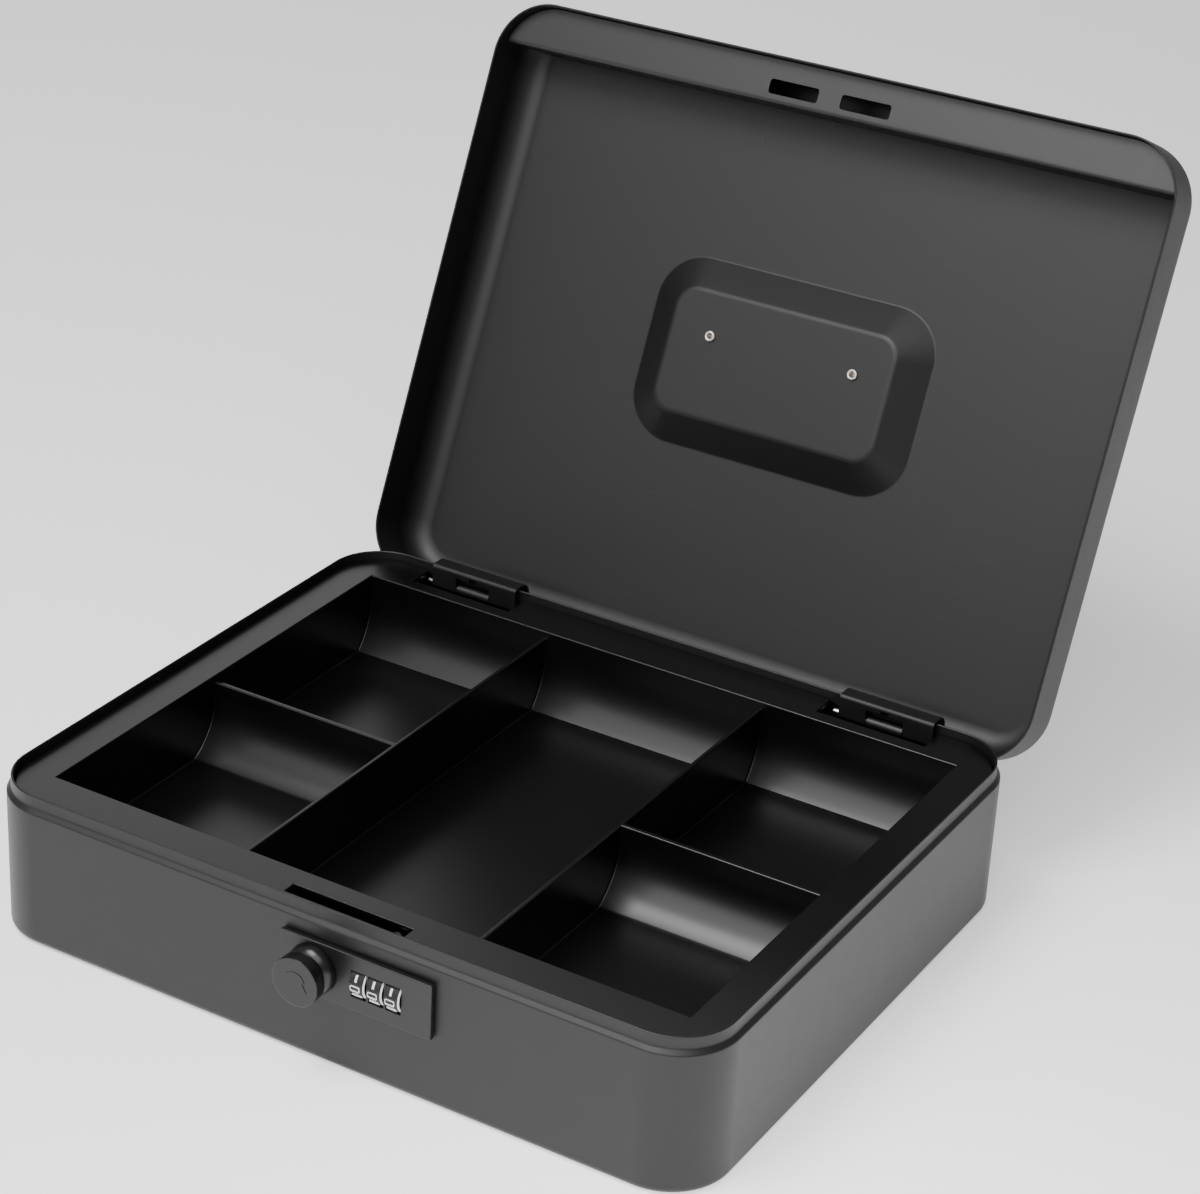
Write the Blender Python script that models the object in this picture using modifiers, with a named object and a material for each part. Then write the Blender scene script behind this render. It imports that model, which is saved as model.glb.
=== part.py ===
"""A lockable steel cash box with its lid open: pressed base and lid, lift-out coin tray, gooseneck
hinges, folding bail handle, and a front lock with a turn knob and three number wheels.

Metres, +X to the right, +Y to the back, +Z up. The origin is the middle of the base's underside.
Pieces of the lid are placed as in the closed box and turn with the empty on the hinge axis.
"""
import math

import bmesh
import bpy
from mathutils import Vector

# Whole box
BOX_WIDTH = 0.300
BOX_DEPTH = 0.244
CORNER_RADIUS = 0.024
SHEET = 0.0009
SEAT_GAP = 0.0003
RUN_GAP = 0.0001
CUT_OVERRUN = 0.004
CORNER_STEPS = 8
MITRE_SHARE = 0.5

# Base: straight wall, inward joggle, upright rim
FLOOR_RADIUS = 0.003
WALL_TOP = 0.055
JOGGLE_RUN = 0.0017
JOGGLE_RISE = 0.0032
RIM_HEIGHT = 0.0069

# Lid
LID_RISE = 0.0253
LID_EDGE_RADIUS = 0.0113
LID_CLEARANCE = 0.0005
LID_EDGE_LIFT = 0.0024
REAR_TRIM_LIFT = 0.0030
REAR_TRIM_SETBACK = 0.010
OPEN_DEGREES = 113.7

# Recess in the lid for the handle
RECESS_SIDE_MARGIN = 0.0170
RECESS_HALF_Y = 0.0384
RECESS_RADIUS = 0.020
RECESS_RUN = 0.0130
RECESS_DEPTH = 0.0085
RECESS_SLOPE_SHARES = ((0.0, 0.0), (0.05, 0.02), (0.84, 0.87), (0.93, 0.97), (1.0, 1.0))

# Hinge axis, and the leaf that arches over the rim
PIVOT_INSET = 0.0036
PIVOT_DROP = 0.0006
PIN_RADIUS = 0.0011
PIN_PROUD = 0.0014
PIN_SHIFT = 0.0014
LEAF_WIDTH = 0.040
LEAF_CENTRE_INSET = 0.0560
HINGE_X = 0.0012
LEAF_SHEET = 0.0009
ARCH_RADIUS = 0.0080
LEAF_BEND_RADIUS = 0.0012
LEAF_CORNER_RADIUS = 0.0052
LEAF_FOOT_START = 0.0018
LEAF_FOOT = 0.009
WINDOW_WIDTH = 0.016
WINDOW_TOP = 0.0057
WINDOW_SHIFT = 0.0006
WINDOW_NOTCH_WIDTH = 0.0034
WINDOW_NOTCH_TOP = 0.0072
BRACKET_SIDE_GAP = 0.0004
BRACKET_DROP = 0.018
BRACKET_FOOT = 0.011
BRACKET_RISE_SHARE = 1.5
CURL_STEP_DEGREES = 24

# Strike channel along the lid's front
STRIKE_DEPTH = 0.0172
STRIKE_RIM_GAP = 0.0010
STRIKE_BEND = 0.0016
STRIKE_WEB_SHOULDER = 0.008
STRIKE_HOLE_INNER = 0.0050
STRIKE_HOLE_LENGTH = 0.0216
STRIKE_HOLE_WIDTH = 0.0058
STRIKE_HOLE_RADIUS = 0.0012
STRIKE_HOLE_SETBACK = 0.0011

# Coin tray
TRAY_CLEARANCE = 0.0006
TRAY_DROP = 0.0035
TRAY_FLANGE = 0.0018
TRAY_WALL = 0.0016
TRAY_SIDE_MARGIN = 0.0177
TRAY_FRONT_MARGIN = 0.0218
TRAY_REAR_MARGIN = 0.0209
TRAY_DEPTH = 0.0311
DIVIDER = 0.0018
DIVIDER_X = 0.049
DIVIDER_Y = -0.0041
DIVIDER_DROP = 0.0030
SCOOP_DROP = 0.0069
SCOOP_RUN = 0.0095
SCOOP_RUN_MIDDLE = 0.0145
SCOOP_STEPS = 6
HINGE_NOTCH_MARGIN = 0.0029
HINGE_NOTCH_SHIFT = 0.0007
HINGE_NOTCH_GAP = 0.0008
CLAW_SLOT_LEFT_MARGIN = 0.0029
CLAW_SLOT_RIGHT_MARGIN = 0.0044
CLAW_SLOT_WIDTH = 0.0054
CLAW_SLOT_ADVANCE = 0.0010

# Rails that carry the tray
RAIL_END_INSET = 0.042
RAIL_SHELF = 0.0098
RAIL_LEG = 0.0125
RAIL_KNEE = 0.0022

# Lock plate on the front wall
PLATE_HEIGHT = 0.0220
PLATE_PROUD = 0.0025
PLATE_BEVEL = 0.0006
HOUSING_TRAY_GAP = 0.0057
KNOB_X = -0.0008
KNOB_TO_PLATE_EDGE = 0.0138
WHEELS_TO_PLATE_EDGE = 0.0153

# Knob and spindle
KNOB_RADIUS = 0.0094
KNOB_CAP = 0.0046
KNOB_NECK_RADIUS = 0.0070
KNOB_COLLAR_RADIUS = 0.0096
KNOB_LIP = 0.0007
KNOB_SHOULDER = 0.0022
KNOB_LENGTH = 0.0110
KNOB_EDGE = 0.0006
KNOB_SOCKET = 0.0060
SPINDLE_RADIUS = 0.0030
SPINDLE_SQUARE = 0.0042
SPINDLE_FLANGE_RADIUS = 0.0050
SPINDLE_FLANGE = 0.0016
NUT_RADIUS = 0.0042
NUT_THICKNESS = 0.0022

# Claw that swings up through the tray's slot and the strike holes
CLAW_THICKNESS = 0.0015
CLAW_INNER = 0.0260
CLAW_OUTER = 0.0310
CLAW_HUB = 0.0070
CLAW_TIP_DEGREES = 29
CLAW_TAIL_DEGREES = -42
CLAW_ARM_DEGREES = 26
CLAW_HOUSING_GAP = 0.0004

# Number wheels
WHEEL_COUNT = 3
WHEEL_RADIUS = 0.0064
WHEEL_WIDTH = 0.0060
WHEEL_PITCH = 0.0071
KNOB_TO_WHEELS = 0.0187
WHEEL_PROUD = 0.0015
WHEEL_CHAMFER = 0.0007
AXLE_RADIUS = 0.0013
WINDOW_SIDE_GAP = 0.0003
WHEEL_WINDOW_GAP = 0.0004

# Lock housing behind the front wall
HOUSING_HALF_HEIGHT = 0.0115
HOUSING_WALL = 0.0013
HOUSING_REAR_WALL = 0.0011
HOUSING_REAR_GAP = 0.0002
RIB = 0.0012
WALL_OPENING_MARGIN = 0.0062
WALL_OPENING_HALF_HEIGHT = 0.0076
SCREW_RADIUS = 0.0012
SCREW_HEAD_RADIUS = 0.0023
SCREW_HEAD = 0.0013
SCREW_HEAD_TOP_SHARE = 0.6
SCREW_SPACING_Z = 0.0150
SCREW_EDGE = 0.0040
SCREW_BITE = 0.0016
SPRING_THICKNESS = 0.0004
SPRING_FINGER = 0.0030

# Handle in the recess
HANDLE_WIRE_RADIUS = 0.0024
HANDLE_HALF_WIDTH = 0.0455
HANDLE_REACH = 0.0235
HANDLE_BEND = 0.0080
HANDLE_HOOK = 0.0087
HANDLE_X = 0.0013
HANDLE_PIVOT_Y = -0.0078
LUG_THICKNESS = 0.0010
LUG_HALF_WIDTH = 0.0046
LUG_PAST_RIVET = 0.0050
LUG_RIVET_TO_BARREL = 0.0044
LUG_BARREL_PAST_HOOK = 0.0002
LUG_BARREL_LENGTH = 0.0060
LUG_BARREL_WALL = 0.0010
LUG_SADDLE_SHARE = 0.8
RIVET_SHANK_RADIUS = 0.0014
RIVET_HOLE_RADIUS = 0.0017
RIVET_HEAD_RADIUS = 0.0023
RIVET_HEAD = 0.0009
RIVET_DIMPLE_RADIUS = 0.0009
RIVET_DIMPLE = 0.0010
RIVET_TOP_SHARE = 0.7
RIVET_CROWN_SHARE = 0.75
RIVET_DIMPLE_SHARE = 0.7

# Sizes worked out from the ones above
HALF_X = BOX_WIDTH / 2
HALF_Y = BOX_DEPTH / 2
LID_INSET = JOGGLE_RUN - LID_CLEARANCE - SHEET
RIM_TOP = WALL_TOP + RIM_HEIGHT
LID_TOP = RIM_TOP + LID_RISE
LID_EDGE = WALL_TOP + LID_EDGE_LIFT
PIVOT = Vector((0, HALF_Y - PIVOT_INSET, WALL_TOP - PIVOT_DROP))
LEAF_CENTRE_X = HALF_X - LEAF_CENTRE_INSET
LEAF_MIDDLE = ARCH_RADIUS + LEAF_SHEET / 2
TRAY_FLANGE_TOP = RIM_TOP - TRAY_DROP
TRAY_FLANGE_BOTTOM = TRAY_FLANGE_TOP - TRAY_FLANGE
TRAY_FLOOR_TOP = TRAY_FLANGE_TOP - TRAY_DEPTH
TRAY_HALF_OPENING = HALF_X - TRAY_SIDE_MARGIN
SCOOP_TOP = TRAY_FLANGE_TOP - SCOOP_DROP
LOCK_HEIGHT = TRAY_FLANGE_BOTTOM - HOUSING_TRAY_GAP - HOUSING_HALF_HEIGHT
WHEEL_FIRST_X = KNOB_X + KNOB_TO_WHEELS
CURL_INNER = PIN_RADIUS + RUN_GAP
CURL_RADIUS = CURL_INNER + LEAF_SHEET / 2
FRONT_INNER_FACE = HALF_Y - SHEET
HOUSING_FRONT = FRONT_INNER_FACE - SEAT_GAP
WHEEL_AXIS_Y = -(HALF_Y + PLATE_PROUD + WHEEL_PROUD - WHEEL_RADIUS)
HOUSING_INNER_REAR = -WHEEL_AXIS_Y - WHEEL_RADIUS - HOUSING_REAR_GAP
HOUSING_REAR = HOUSING_INNER_REAR - HOUSING_REAR_WALL
CLAW_FRONT = HOUSING_REAR - CLAW_HOUSING_GAP
CLAW_Y = -(CLAW_FRONT - CLAW_THICKNESS / 2)
PLATE_WIDTH = (KNOB_TO_PLATE_EDGE + KNOB_TO_WHEELS + WHEEL_PITCH * (WHEEL_COUNT - 1)
               + WHEELS_TO_PLATE_EDGE)
PLATE_LEFT = KNOB_X - KNOB_TO_PLATE_EDGE
RECESS_HALF_X = HANDLE_HALF_WIDTH + RECESS_SIDE_MARGIN
HANDLE_END = HANDLE_HALF_WIDTH - HANDLE_HOOK
LUG_BARREL_START = HANDLE_END - LUG_BARREL_PAST_HOOK
RIVET_X = LUG_BARREL_START - LUG_RIVET_TO_BARREL
LUG_INNER_X = RIVET_X - LUG_PAST_RIVET
PLATE_X = PLATE_LEFT + PLATE_WIDTH / 2
PLATE_FACE_Y = -(HALF_Y + PLATE_PROUD)
RECESS_FLOOR = LID_TOP - RECESS_DEPTH
HANDLE_PIVOT = Vector((HANDLE_X, HANDLE_PIVOT_Y, RECESS_FLOOR + SEAT_GAP + LUG_THICKNESS + LUG_BARREL_WALL
                       + SEAT_GAP + HANDLE_WIRE_RADIUS))
STRIKE_BOTTOM = RIM_TOP + STRIKE_RIM_GAP

FACING = {
    "up": (0, 0, 0),
    "front": (math.radians(90), 0, 0),
    "side": (math.radians(90), 0, math.radians(90)),
}
ALONG = {
    "X": (0, math.radians(90), 0),
    "Y": (math.radians(90), 0, 0),
    "Z": (0, 0, 0),
}


def clear_scene():
    for obj in list(bpy.data.objects):
        bpy.data.objects.remove(obj, do_unlink=True)


def make_collection(name):
    collection = bpy.data.collections.new(name)
    bpy.context.scene.collection.children.link(collection)
    return collection


def make_material(name, colour, roughness, metallic):
    material = bpy.data.materials.new(name)
    material.use_nodes = True
    shader = material.node_tree.nodes["Principled BSDF"]
    shader.inputs["Base Color"].default_value = (*colour, 1)
    shader.inputs["Roughness"].default_value = roughness
    shader.inputs["Metallic"].default_value = metallic
    return material


clear_scene()
PARTS = make_collection("cash_box")
CUTTERS = make_collection("cutters")
BLACK_COAT = make_material("black_powder_coat", (0.035, 0.035, 0.037), 0.45, 0.0)
BLACK_PLASTIC = make_material("black_plastic", (0.015, 0.015, 0.016), 0.35, 0.0)
DARK_ZINC = make_material("dark_zinc", (0.06, 0.06, 0.065), 0.45, 0.6)
BARE_STEEL = make_material("bare_steel", (0.62, 0.61, 0.59), 0.3, 1.0)
WHEEL_BLACK = make_material("wheel_black", (0.02, 0.02, 0.02), 0.4, 0.0)


def make_empty(name, at, turn_x=0.0, parent=None):
    """An empty on a joint axis, turned about X from where it stands in the closed box."""
    empty = bpy.data.objects.new(name, None)
    PARTS.objects.link(empty)
    empty.location = at
    if parent:
        empty.parent = parent[0]
        empty.location = at - parent[1]
    empty.rotation_euler = (turn_x, 0, 0)
    return empty, at


def place(obj, at, facing="up", parent=None):
    obj.rotation_euler = FACING[facing]
    obj.location = Vector(at)
    if parent:
        obj.parent = parent[0]
        obj.location = Vector(at) - parent[1]


def finish(obj, material, cutter=False):
    """Links an object to its collection and gives it its material, or hides it as a cutter."""
    (CUTTERS if cutter else PARTS).objects.link(obj)
    if cutter:
        obj.hide_render = True
        obj.display_type = "WIRE"
    else:
        obj.data.materials.append(material)
    return obj


def shade(obj, degrees=35):
    obj.data.shade_smooth()
    obj.data.set_sharp_from_angle(angle=math.radians(degrees))


def from_bmesh(name, bm):
    mesh = bpy.data.meshes.new(name)
    bm.to_mesh(mesh)
    bm.free()
    return bpy.data.objects.new(name, mesh)


def block(name, size, centre, material=None, parent=None, facing="up"):
    """A rectangular block from the unit cube."""
    bm = bmesh.new()
    bmesh.ops.create_cube(bm, size=1)
    bmesh.ops.scale(bm, vec=size, verts=bm.verts)
    obj = finish(from_bmesh(name, bm), material, material is None)
    place(obj, centre, facing, parent)
    return obj


def cylinder(name, radius, length, centre, along, material=None, parent=None, steps=20):
    """A round bar; along is the world axis that it lies on."""
    bm = bmesh.new()
    bmesh.ops.create_cone(bm, cap_ends=True, segments=steps, radius1=radius, radius2=radius, depth=length)
    obj = finish(from_bmesh(name, bm), material, material is None)
    shade(obj)
    place(obj, centre, "up", parent)
    obj.rotation_euler = ALONG[along]
    return obj


def plate(name, outlines, thickness, centre, facing, material=None, parent=None):
    """A flat piece in the local XY plane: the first outline is its edge and the others are holes."""
    curve = bpy.data.curves.new(name, "CURVE")
    curve.dimensions = "2D"
    curve.fill_mode = "BOTH"
    curve.extrude = thickness / 2
    for outline in outlines:
        spline = curve.splines.new("POLY")
        spline.points.add(len(outline) - 1)
        for point, (u, v) in zip(spline.points, outline):
            point.co = (u, v, 0, 1)
        spline.use_cyclic_u = True
    flat = bpy.data.objects.new(name + "_outline", curve)
    CUTTERS.objects.link(flat)
    bpy.context.view_layer.update()
    mesh = bpy.data.meshes.new_from_object(flat.evaluated_get(bpy.context.evaluated_depsgraph_get()))
    mesh.name = name
    bm = bmesh.new()
    bm.from_mesh(mesh)
    bmesh.ops.remove_doubles(bm, verts=bm.verts, dist=RUN_GAP / 100)
    bm.to_mesh(mesh)
    bm.free()
    bpy.data.objects.remove(flat, do_unlink=True)
    bpy.data.curves.remove(curve)
    obj = finish(bpy.data.objects.new(name, mesh), material, material is None)
    place(obj, centre, facing, parent)
    return obj


def turned(name, profile, centre, along, material, parent=None, steps=28, closed=False):
    """A turned piece. The profile holds (radius, height) from its top to its bottom, at +X."""
    mesh = bpy.data.meshes.new(name)
    count = len(profile)
    edges = [(i, i + 1) for i in range(count - 1)]
    if closed:
        edges.append((count - 1, 0))
    mesh.from_pydata([(r, 0, h) for r, h in profile], edges, [])
    obj = finish(bpy.data.objects.new(name, mesh), material)
    screw = obj.modifiers.new("turn", "SCREW")
    screw.axis = "Z"
    screw.angle = math.tau
    screw.steps = steps
    screw.render_steps = steps
    screw.use_merge_vertices = True
    screw.merge_threshold = RUN_GAP / 10
    screw.use_smooth_shade = True
    place(obj, centre, "up", parent)
    obj.rotation_euler = ALONG[along]
    return obj


def boolean(target, tool, operation):
    modifier = target.modifiers.new(tool.name, "BOOLEAN")
    modifier.operation = operation
    modifier.solver = "EXACT"
    modifier.object = tool
    return target


def cut(target, tool):
    return boolean(target, tool, "DIFFERENCE")


def join(target, tool):
    return boolean(target, tool, "UNION")


def bevel(obj, width, segments=2, degrees=40):
    modifier = obj.modifiers.new("edges", "BEVEL")
    modifier.width = width
    modifier.segments = segments
    modifier.limit_method = "ANGLE"
    modifier.angle_limit = math.radians(degrees)
    return obj


def arc(centre_u, centre_v, radius, start, end, steps):
    """Points on an arc from start to end, in degrees, both ends included."""
    points = []
    for i in range(steps + 1):
        a = math.radians(start + (end - start) * i / steps)
        points.append((centre_u + radius * math.cos(a), centre_v + radius * math.sin(a)))
    return points


def rounded_outline(half_u, half_v, radius, steps, centre_u=0.0, centre_v=0.0):
    """A rectangle with round corners, anticlockwise from its right side."""
    points = []
    for start, su, sv in ((0, 1, 1), (90, -1, 1), (180, -1, -1), (270, 1, -1)):
        points += arc(centre_u + su * (half_u - radius), centre_v + sv * (half_v - radius), radius,
                      start, start + 90, steps)
    return points


def box_ring(inset, z):
    """The box's own outline, set in by an even distance, at one height."""
    outline = rounded_outline(HALF_X - inset, HALF_Y - inset, CORNER_RADIUS - inset, CORNER_STEPS)
    return [Vector((x, y, z)) for x, y in outline]


def loft(name, rings, material, parent=None, origin=Vector((0, 0, 0))):
    """A closed body through rings of as many points each, with a flat face on the first and last."""
    bm = bmesh.new()
    rows = [[bm.verts.new(p - origin) for p in ring] for ring in rings]
    for low, high in zip(rows, rows[1:]):
        for i in range(len(low)):
            j = (i + 1) % len(low)
            bm.faces.new((low[i], low[j], high[j], high[i]))
    bm.faces.new(list(reversed(rows[0])))
    bm.faces.new(rows[-1])
    bmesh.ops.recalc_face_normals(bm, faces=bm.faces)
    obj = finish(from_bmesh(name, bm), material)
    shade(obj)
    place(obj, origin, "up", parent)
    return obj


def strip(path, thickness):
    """The outline of a bent sheet: the path is its middle line."""
    left, right = [], []
    for i, (u, v) in enumerate(path):
        before = Vector(path[max(i - 1, 0)])
        after = Vector(path[min(i + 1, len(path) - 1)])
        here = Vector((u, v))
        directions = [d.normalized() for d in (here - before, after - here) if d.length > 0]
        direction = sum(directions, Vector((0, 0))).normalized()
        normal = Vector((-direction.y, direction.x))
        widen = 1 / max(normal.dot(Vector((-directions[0].y, directions[0].x))), MITRE_SHARE)
        left.append(tuple(here + normal * thickness / 2 * widen))
        right.append(tuple(here - normal * thickness / 2 * widen))
    return left + right[::-1]


def quarter(radius, steps):
    """(inset, height) pairs of a rounded bottom edge, from the flat underside to the upright wall."""
    pairs = []
    for i in range(steps + 1):
        a = math.radians(90 * i / steps)
        pairs.append((radius * (1 - math.sin(a)), radius * (1 - math.cos(a))))
    return pairs


# Base shell
JOGGLE_SLANT = math.atan2(JOGGLE_RUN, JOGGLE_RISE)
INNER_DROP = SHEET * math.tan(JOGGLE_SLANT / 2)


def base_profile():
    """(inset, height) from the middle of the underside, up the outside, over the rim and down the inside."""
    outside = quarter(FLOOR_RADIUS, 4)
    outside += [(0, WALL_TOP), (JOGGLE_RUN, WALL_TOP + JOGGLE_RISE)]
    edge = [(JOGGLE_RUN + SHEET / 2 - u, v) for u, v in arc(0, RIM_TOP - SHEET / 2, SHEET / 2, 0, 180, 4)]
    inside = [(JOGGLE_RUN + SHEET, WALL_TOP + JOGGLE_RISE - INNER_DROP), (SHEET, WALL_TOP - INNER_DROP)]
    floor = [(SHEET + inset, SHEET + z) for inset, z in reversed(quarter(FLOOR_RADIUS - SHEET, 3))]
    return outside + edge + inside + floor


base = loft("base_shell", [box_ring(inset, z) for inset, z in base_profile()], BLACK_COAT)

# Hinge axis and lid
LID_AXIS = make_empty("lid_axis", PIVOT, -math.radians(OPEN_DEGREES))


def recess_ring(share, drop, z):
    inset = RECESS_RUN * share
    outline = rounded_outline(RECESS_HALF_X - inset, RECESS_HALF_Y - inset,
                              RECESS_RADIUS - inset * RECESS_RADIUS / (RECESS_RUN + RECESS_RADIUS / 2),
                              CORNER_STEPS)
    return [Vector((x, y, z - RECESS_DEPTH * drop)) for x, y in outline]


def lid_rings():
    """From the recess floor, out over the panel, down the skirt, round its edge and back inside."""
    outer_recess = [recess_ring(s, d, LID_TOP) for s, d in reversed(RECESS_SLOPE_SHARES)]
    inner_recess = [recess_ring(s, d, LID_TOP - SHEET) for s, d in RECESS_SLOPE_SHARES]
    outer_edge = [box_ring(LID_INSET + inset, LID_TOP - z) for inset, z in quarter(LID_EDGE_RADIUS, 6)]
    inner_radius = LID_EDGE_RADIUS - SHEET
    inner_edge = [box_ring(LID_INSET + SHEET + inset, LID_TOP - SHEET - z)
                  for inset, z in reversed(quarter(inner_radius, 5))]
    skirt = [box_ring(LID_INSET, LID_EDGE), box_ring(LID_INSET + SHEET, LID_EDGE)]
    return outer_recess + outer_edge + skirt + inner_edge + inner_recess


lid = loft("lid_shell", lid_rings(), BLACK_COAT, LID_AXIS, PIVOT)

# The lid's rear skirt is shorter between its corners, so that it swings clear of the rear wall
REAR_TRIM_TOP = LID_EDGE + REAR_TRIM_LIFT
rear_trim = block("rear_trim_cutter",
                  (2 * (HALF_X - REAR_TRIM_SETBACK), CORNER_RADIUS, 2 * (REAR_TRIM_TOP - LID_EDGE)),
                  (0, HALF_Y - SHEET - LID_INSET + CORNER_RADIUS / 2 - CUT_OVERRUN, LID_EDGE),
                  parent=LID_AXIS)
cut(lid, rear_trim)


# Strike channel
def strike_channel():
    """A flat plate with a bent-up rear edge that is welded under the lid's panel."""
    inset = LID_INSET + SHEET + SEAT_GAP
    radius = CORNER_RADIUS - inset
    centre_x = HALF_X - CORNER_RADIUS
    centre_y = HALF_Y - CORNER_RADIUS
    front = HALF_Y - inset
    rear = front - STRIKE_DEPTH
    end_degrees = math.degrees(math.asin((rear - centre_y) / radius))
    right_end = arc(centre_x, -centre_y, radius, -end_degrees, -90, CORNER_STEPS)
    outline = right_end + [(-x, y) for x, y in reversed(right_end)]
    plate_z = STRIKE_BOTTOM + SHEET / 2
    web_top = LID_TOP - SHEET - SEAT_GAP
    web_half = HALF_X - LID_INSET - SHEET - LID_EDGE_RADIUS
    shoulder = web_top - LID_EDGE_RADIUS - STRIKE_WEB_SHOULDER
    corner_x = outline[0][0]
    web = [(corner_x, shoulder), (web_half, web_top), (-web_half, web_top), (-corner_x, shoulder)]
    bm = bmesh.new()
    flat = [bm.verts.new(Vector((x, y, plate_z)) - PIVOT) for x, y in outline]
    upright = [bm.verts.new(Vector((x, -rear, z)) - PIVOT) for x, z in web]
    bm.faces.new(flat)
    bm.faces.new([flat[0], flat[-1]] + upright[::-1])
    bmesh.ops.recalc_face_normals(bm, faces=bm.faces)
    bend = [edge for edge in bm.edges if len(edge.link_faces) == 2]
    bmesh.ops.bevel(bm, geom=bend, offset=STRIKE_BEND, segments=4, profile=0.5, affect="EDGES")
    obj = finish(from_bmesh("strike_channel", bm), BLACK_COAT)
    shade(obj)
    place(obj, PIVOT, "up", LID_AXIS)
    wall = obj.modifiers.new("sheet", "SOLIDIFY")
    wall.thickness = SHEET
    wall.offset = 0
    wall.use_even_offset = True
    for side in (-1, 1):
        middle = side * (STRIKE_HOLE_INNER + STRIKE_HOLE_LENGTH / 2)
        hole = rounded_outline(STRIKE_HOLE_LENGTH / 2, STRIKE_HOLE_WIDTH / 2, STRIKE_HOLE_RADIUS, 3)
        tool = plate(f"strike_hole_cutter_{side}", [hole], SHEET + CUT_OVERRUN,
                     (middle, CLAW_Y + STRIKE_HOLE_SETBACK, plate_z), "up", parent=LID_AXIS)
        cut(obj, tool)
    return obj


strike_channel()

# Hinges. Paths are in (Y, Z) from the pivot, with the lid open.
OPEN = math.radians(OPEN_DEGREES)


def opened(y, z):
    """A place of the closed lid, from the pivot, carried to the open lid."""
    return y * math.cos(OPEN) + z * math.sin(OPEN), -y * math.sin(OPEN) + z * math.cos(OPEN)


def leaf_path():
    """Up from the pin's curl in front of the rim, square over it, and down to a foot on the rear skirt."""
    curl_steps = (180 + 85) // CURL_STEP_DEGREES
    curl = arc(0, 0, CURL_RADIUS, 445, 180, curl_steps)
    bend = arc(-CURL_RADIUS + LEAF_BEND_RADIUS, LEAF_MIDDLE - LEAF_BEND_RADIUS, LEAF_BEND_RADIUS, 180, 90, 3)
    corner = LEAF_MIDDLE - LEAF_CORNER_RADIUS
    top = arc(corner, corner, LEAF_CORNER_RADIUS, 90, 0, 6)
    skirt_face = HALF_Y - LID_INSET - SHEET - PIVOT.y
    foot_line = skirt_face - SEAT_GAP - LEAF_SHEET / 2
    foot_start = LEAF_MIDDLE + LEAF_FOOT_START
    foot = [opened(foot_line, foot_start), opened(foot_line, foot_start + LEAF_FOOT)]
    end_degrees = math.degrees(math.acos(foot_line / LEAF_MIDDLE)) - OPEN_DEGREES
    back = arc(0, 0, LEAF_MIDDLE, 0, end_degrees, 3)[1:]
    return curl + bend + top + back + foot


def bracket_path():
    """Up the rear wall from a welded foot, then round the pin from behind."""
    wall_line = HALF_Y - SHEET - SEAT_GAP - LEAF_SHEET / 2 - PIVOT.y
    foot = [(wall_line, -BRACKET_DROP), (wall_line, -BRACKET_DROP + BRACKET_FOOT)]
    rise = [(CURL_RADIUS, -BRACKET_DROP + BRACKET_FOOT + (wall_line - CURL_RADIUS) * BRACKET_RISE_SHARE)]
    curl = arc(0, 0, CURL_RADIUS, 0, 265, 265 // CURL_STEP_DEGREES)
    return foot + rise + curl


def parent_in_place(obj, parent):
    """Hangs a piece that stands in its open-lid place on the lid's axis."""
    bpy.context.view_layer.update()
    obj.parent = parent[0]
    obj.matrix_parent_inverse = parent[0].matrix_world.inverted()


def make_hinge(name, side):
    at = Vector((HINGE_X + side * LEAF_CENTRE_X, PIVOT.y, PIVOT.z))
    window_at = at - Vector((WINDOW_SHIFT, 0, 0))
    leaf = plate(f"hinge_leaf_{name}", [strip(leaf_path(), LEAF_SHEET)], LEAF_WIDTH, at, "side", BLACK_COAT)
    window_low = -CURL_RADIUS - LEAF_SHEET
    openings = {"opening": (WINDOW_WIDTH, WINDOW_TOP), "notch": (WINDOW_NOTCH_WIDTH, WINDOW_NOTCH_TOP)}
    for part, (width, top) in openings.items():
        window = block(f"hinge_{part}_{name}", (width, 2 * CURL_RADIUS + LEAF_SHEET, top - window_low),
                       window_at + Vector((0, 0, (top + window_low) / 2)))
        cut(leaf, window)
    parent_in_place(leaf, LID_AXIS)
    shade(leaf)
    bracket_width = WINDOW_WIDTH - 2 * BRACKET_SIDE_GAP
    bracket = plate(f"hinge_bracket_{name}", [strip(bracket_path(), LEAF_SHEET)], bracket_width, window_at,
                    "side", BLACK_COAT)
    shade(bracket)
    cylinder(f"hinge_pin_{name}", PIN_RADIUS, LEAF_WIDTH + 2 * PIN_PROUD,
             at - Vector((PIN_SHIFT, 0, 0)), "X", BARE_STEEL, steps=14)


make_hinge("left", -1)
make_hinge("right", 1)


# Coin tray
def tray_pocket(name, left, right, front, rear, scoop):
    """The space of one compartment, with a hollow scoop up its rear wall."""
    depth = SCOOP_TOP - TRAY_FLOOR_TOP
    radius = (depth * depth + scoop * scoop) / (2 * scoop)
    sweep = math.degrees(math.asin(depth / radius))
    curve = [(y, z) for y, z in arc(rear - radius, SCOOP_TOP, radius, -sweep, 0, SCOOP_STEPS)]
    top = TRAY_FLANGE_TOP + CUT_OVERRUN
    outline = [(front, TRAY_FLOOR_TOP)] + curve + [(rear, top), (front, top)]
    return plate(name, [outline], right - left, ((left + right) / 2, 0, 0), "side")


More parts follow.
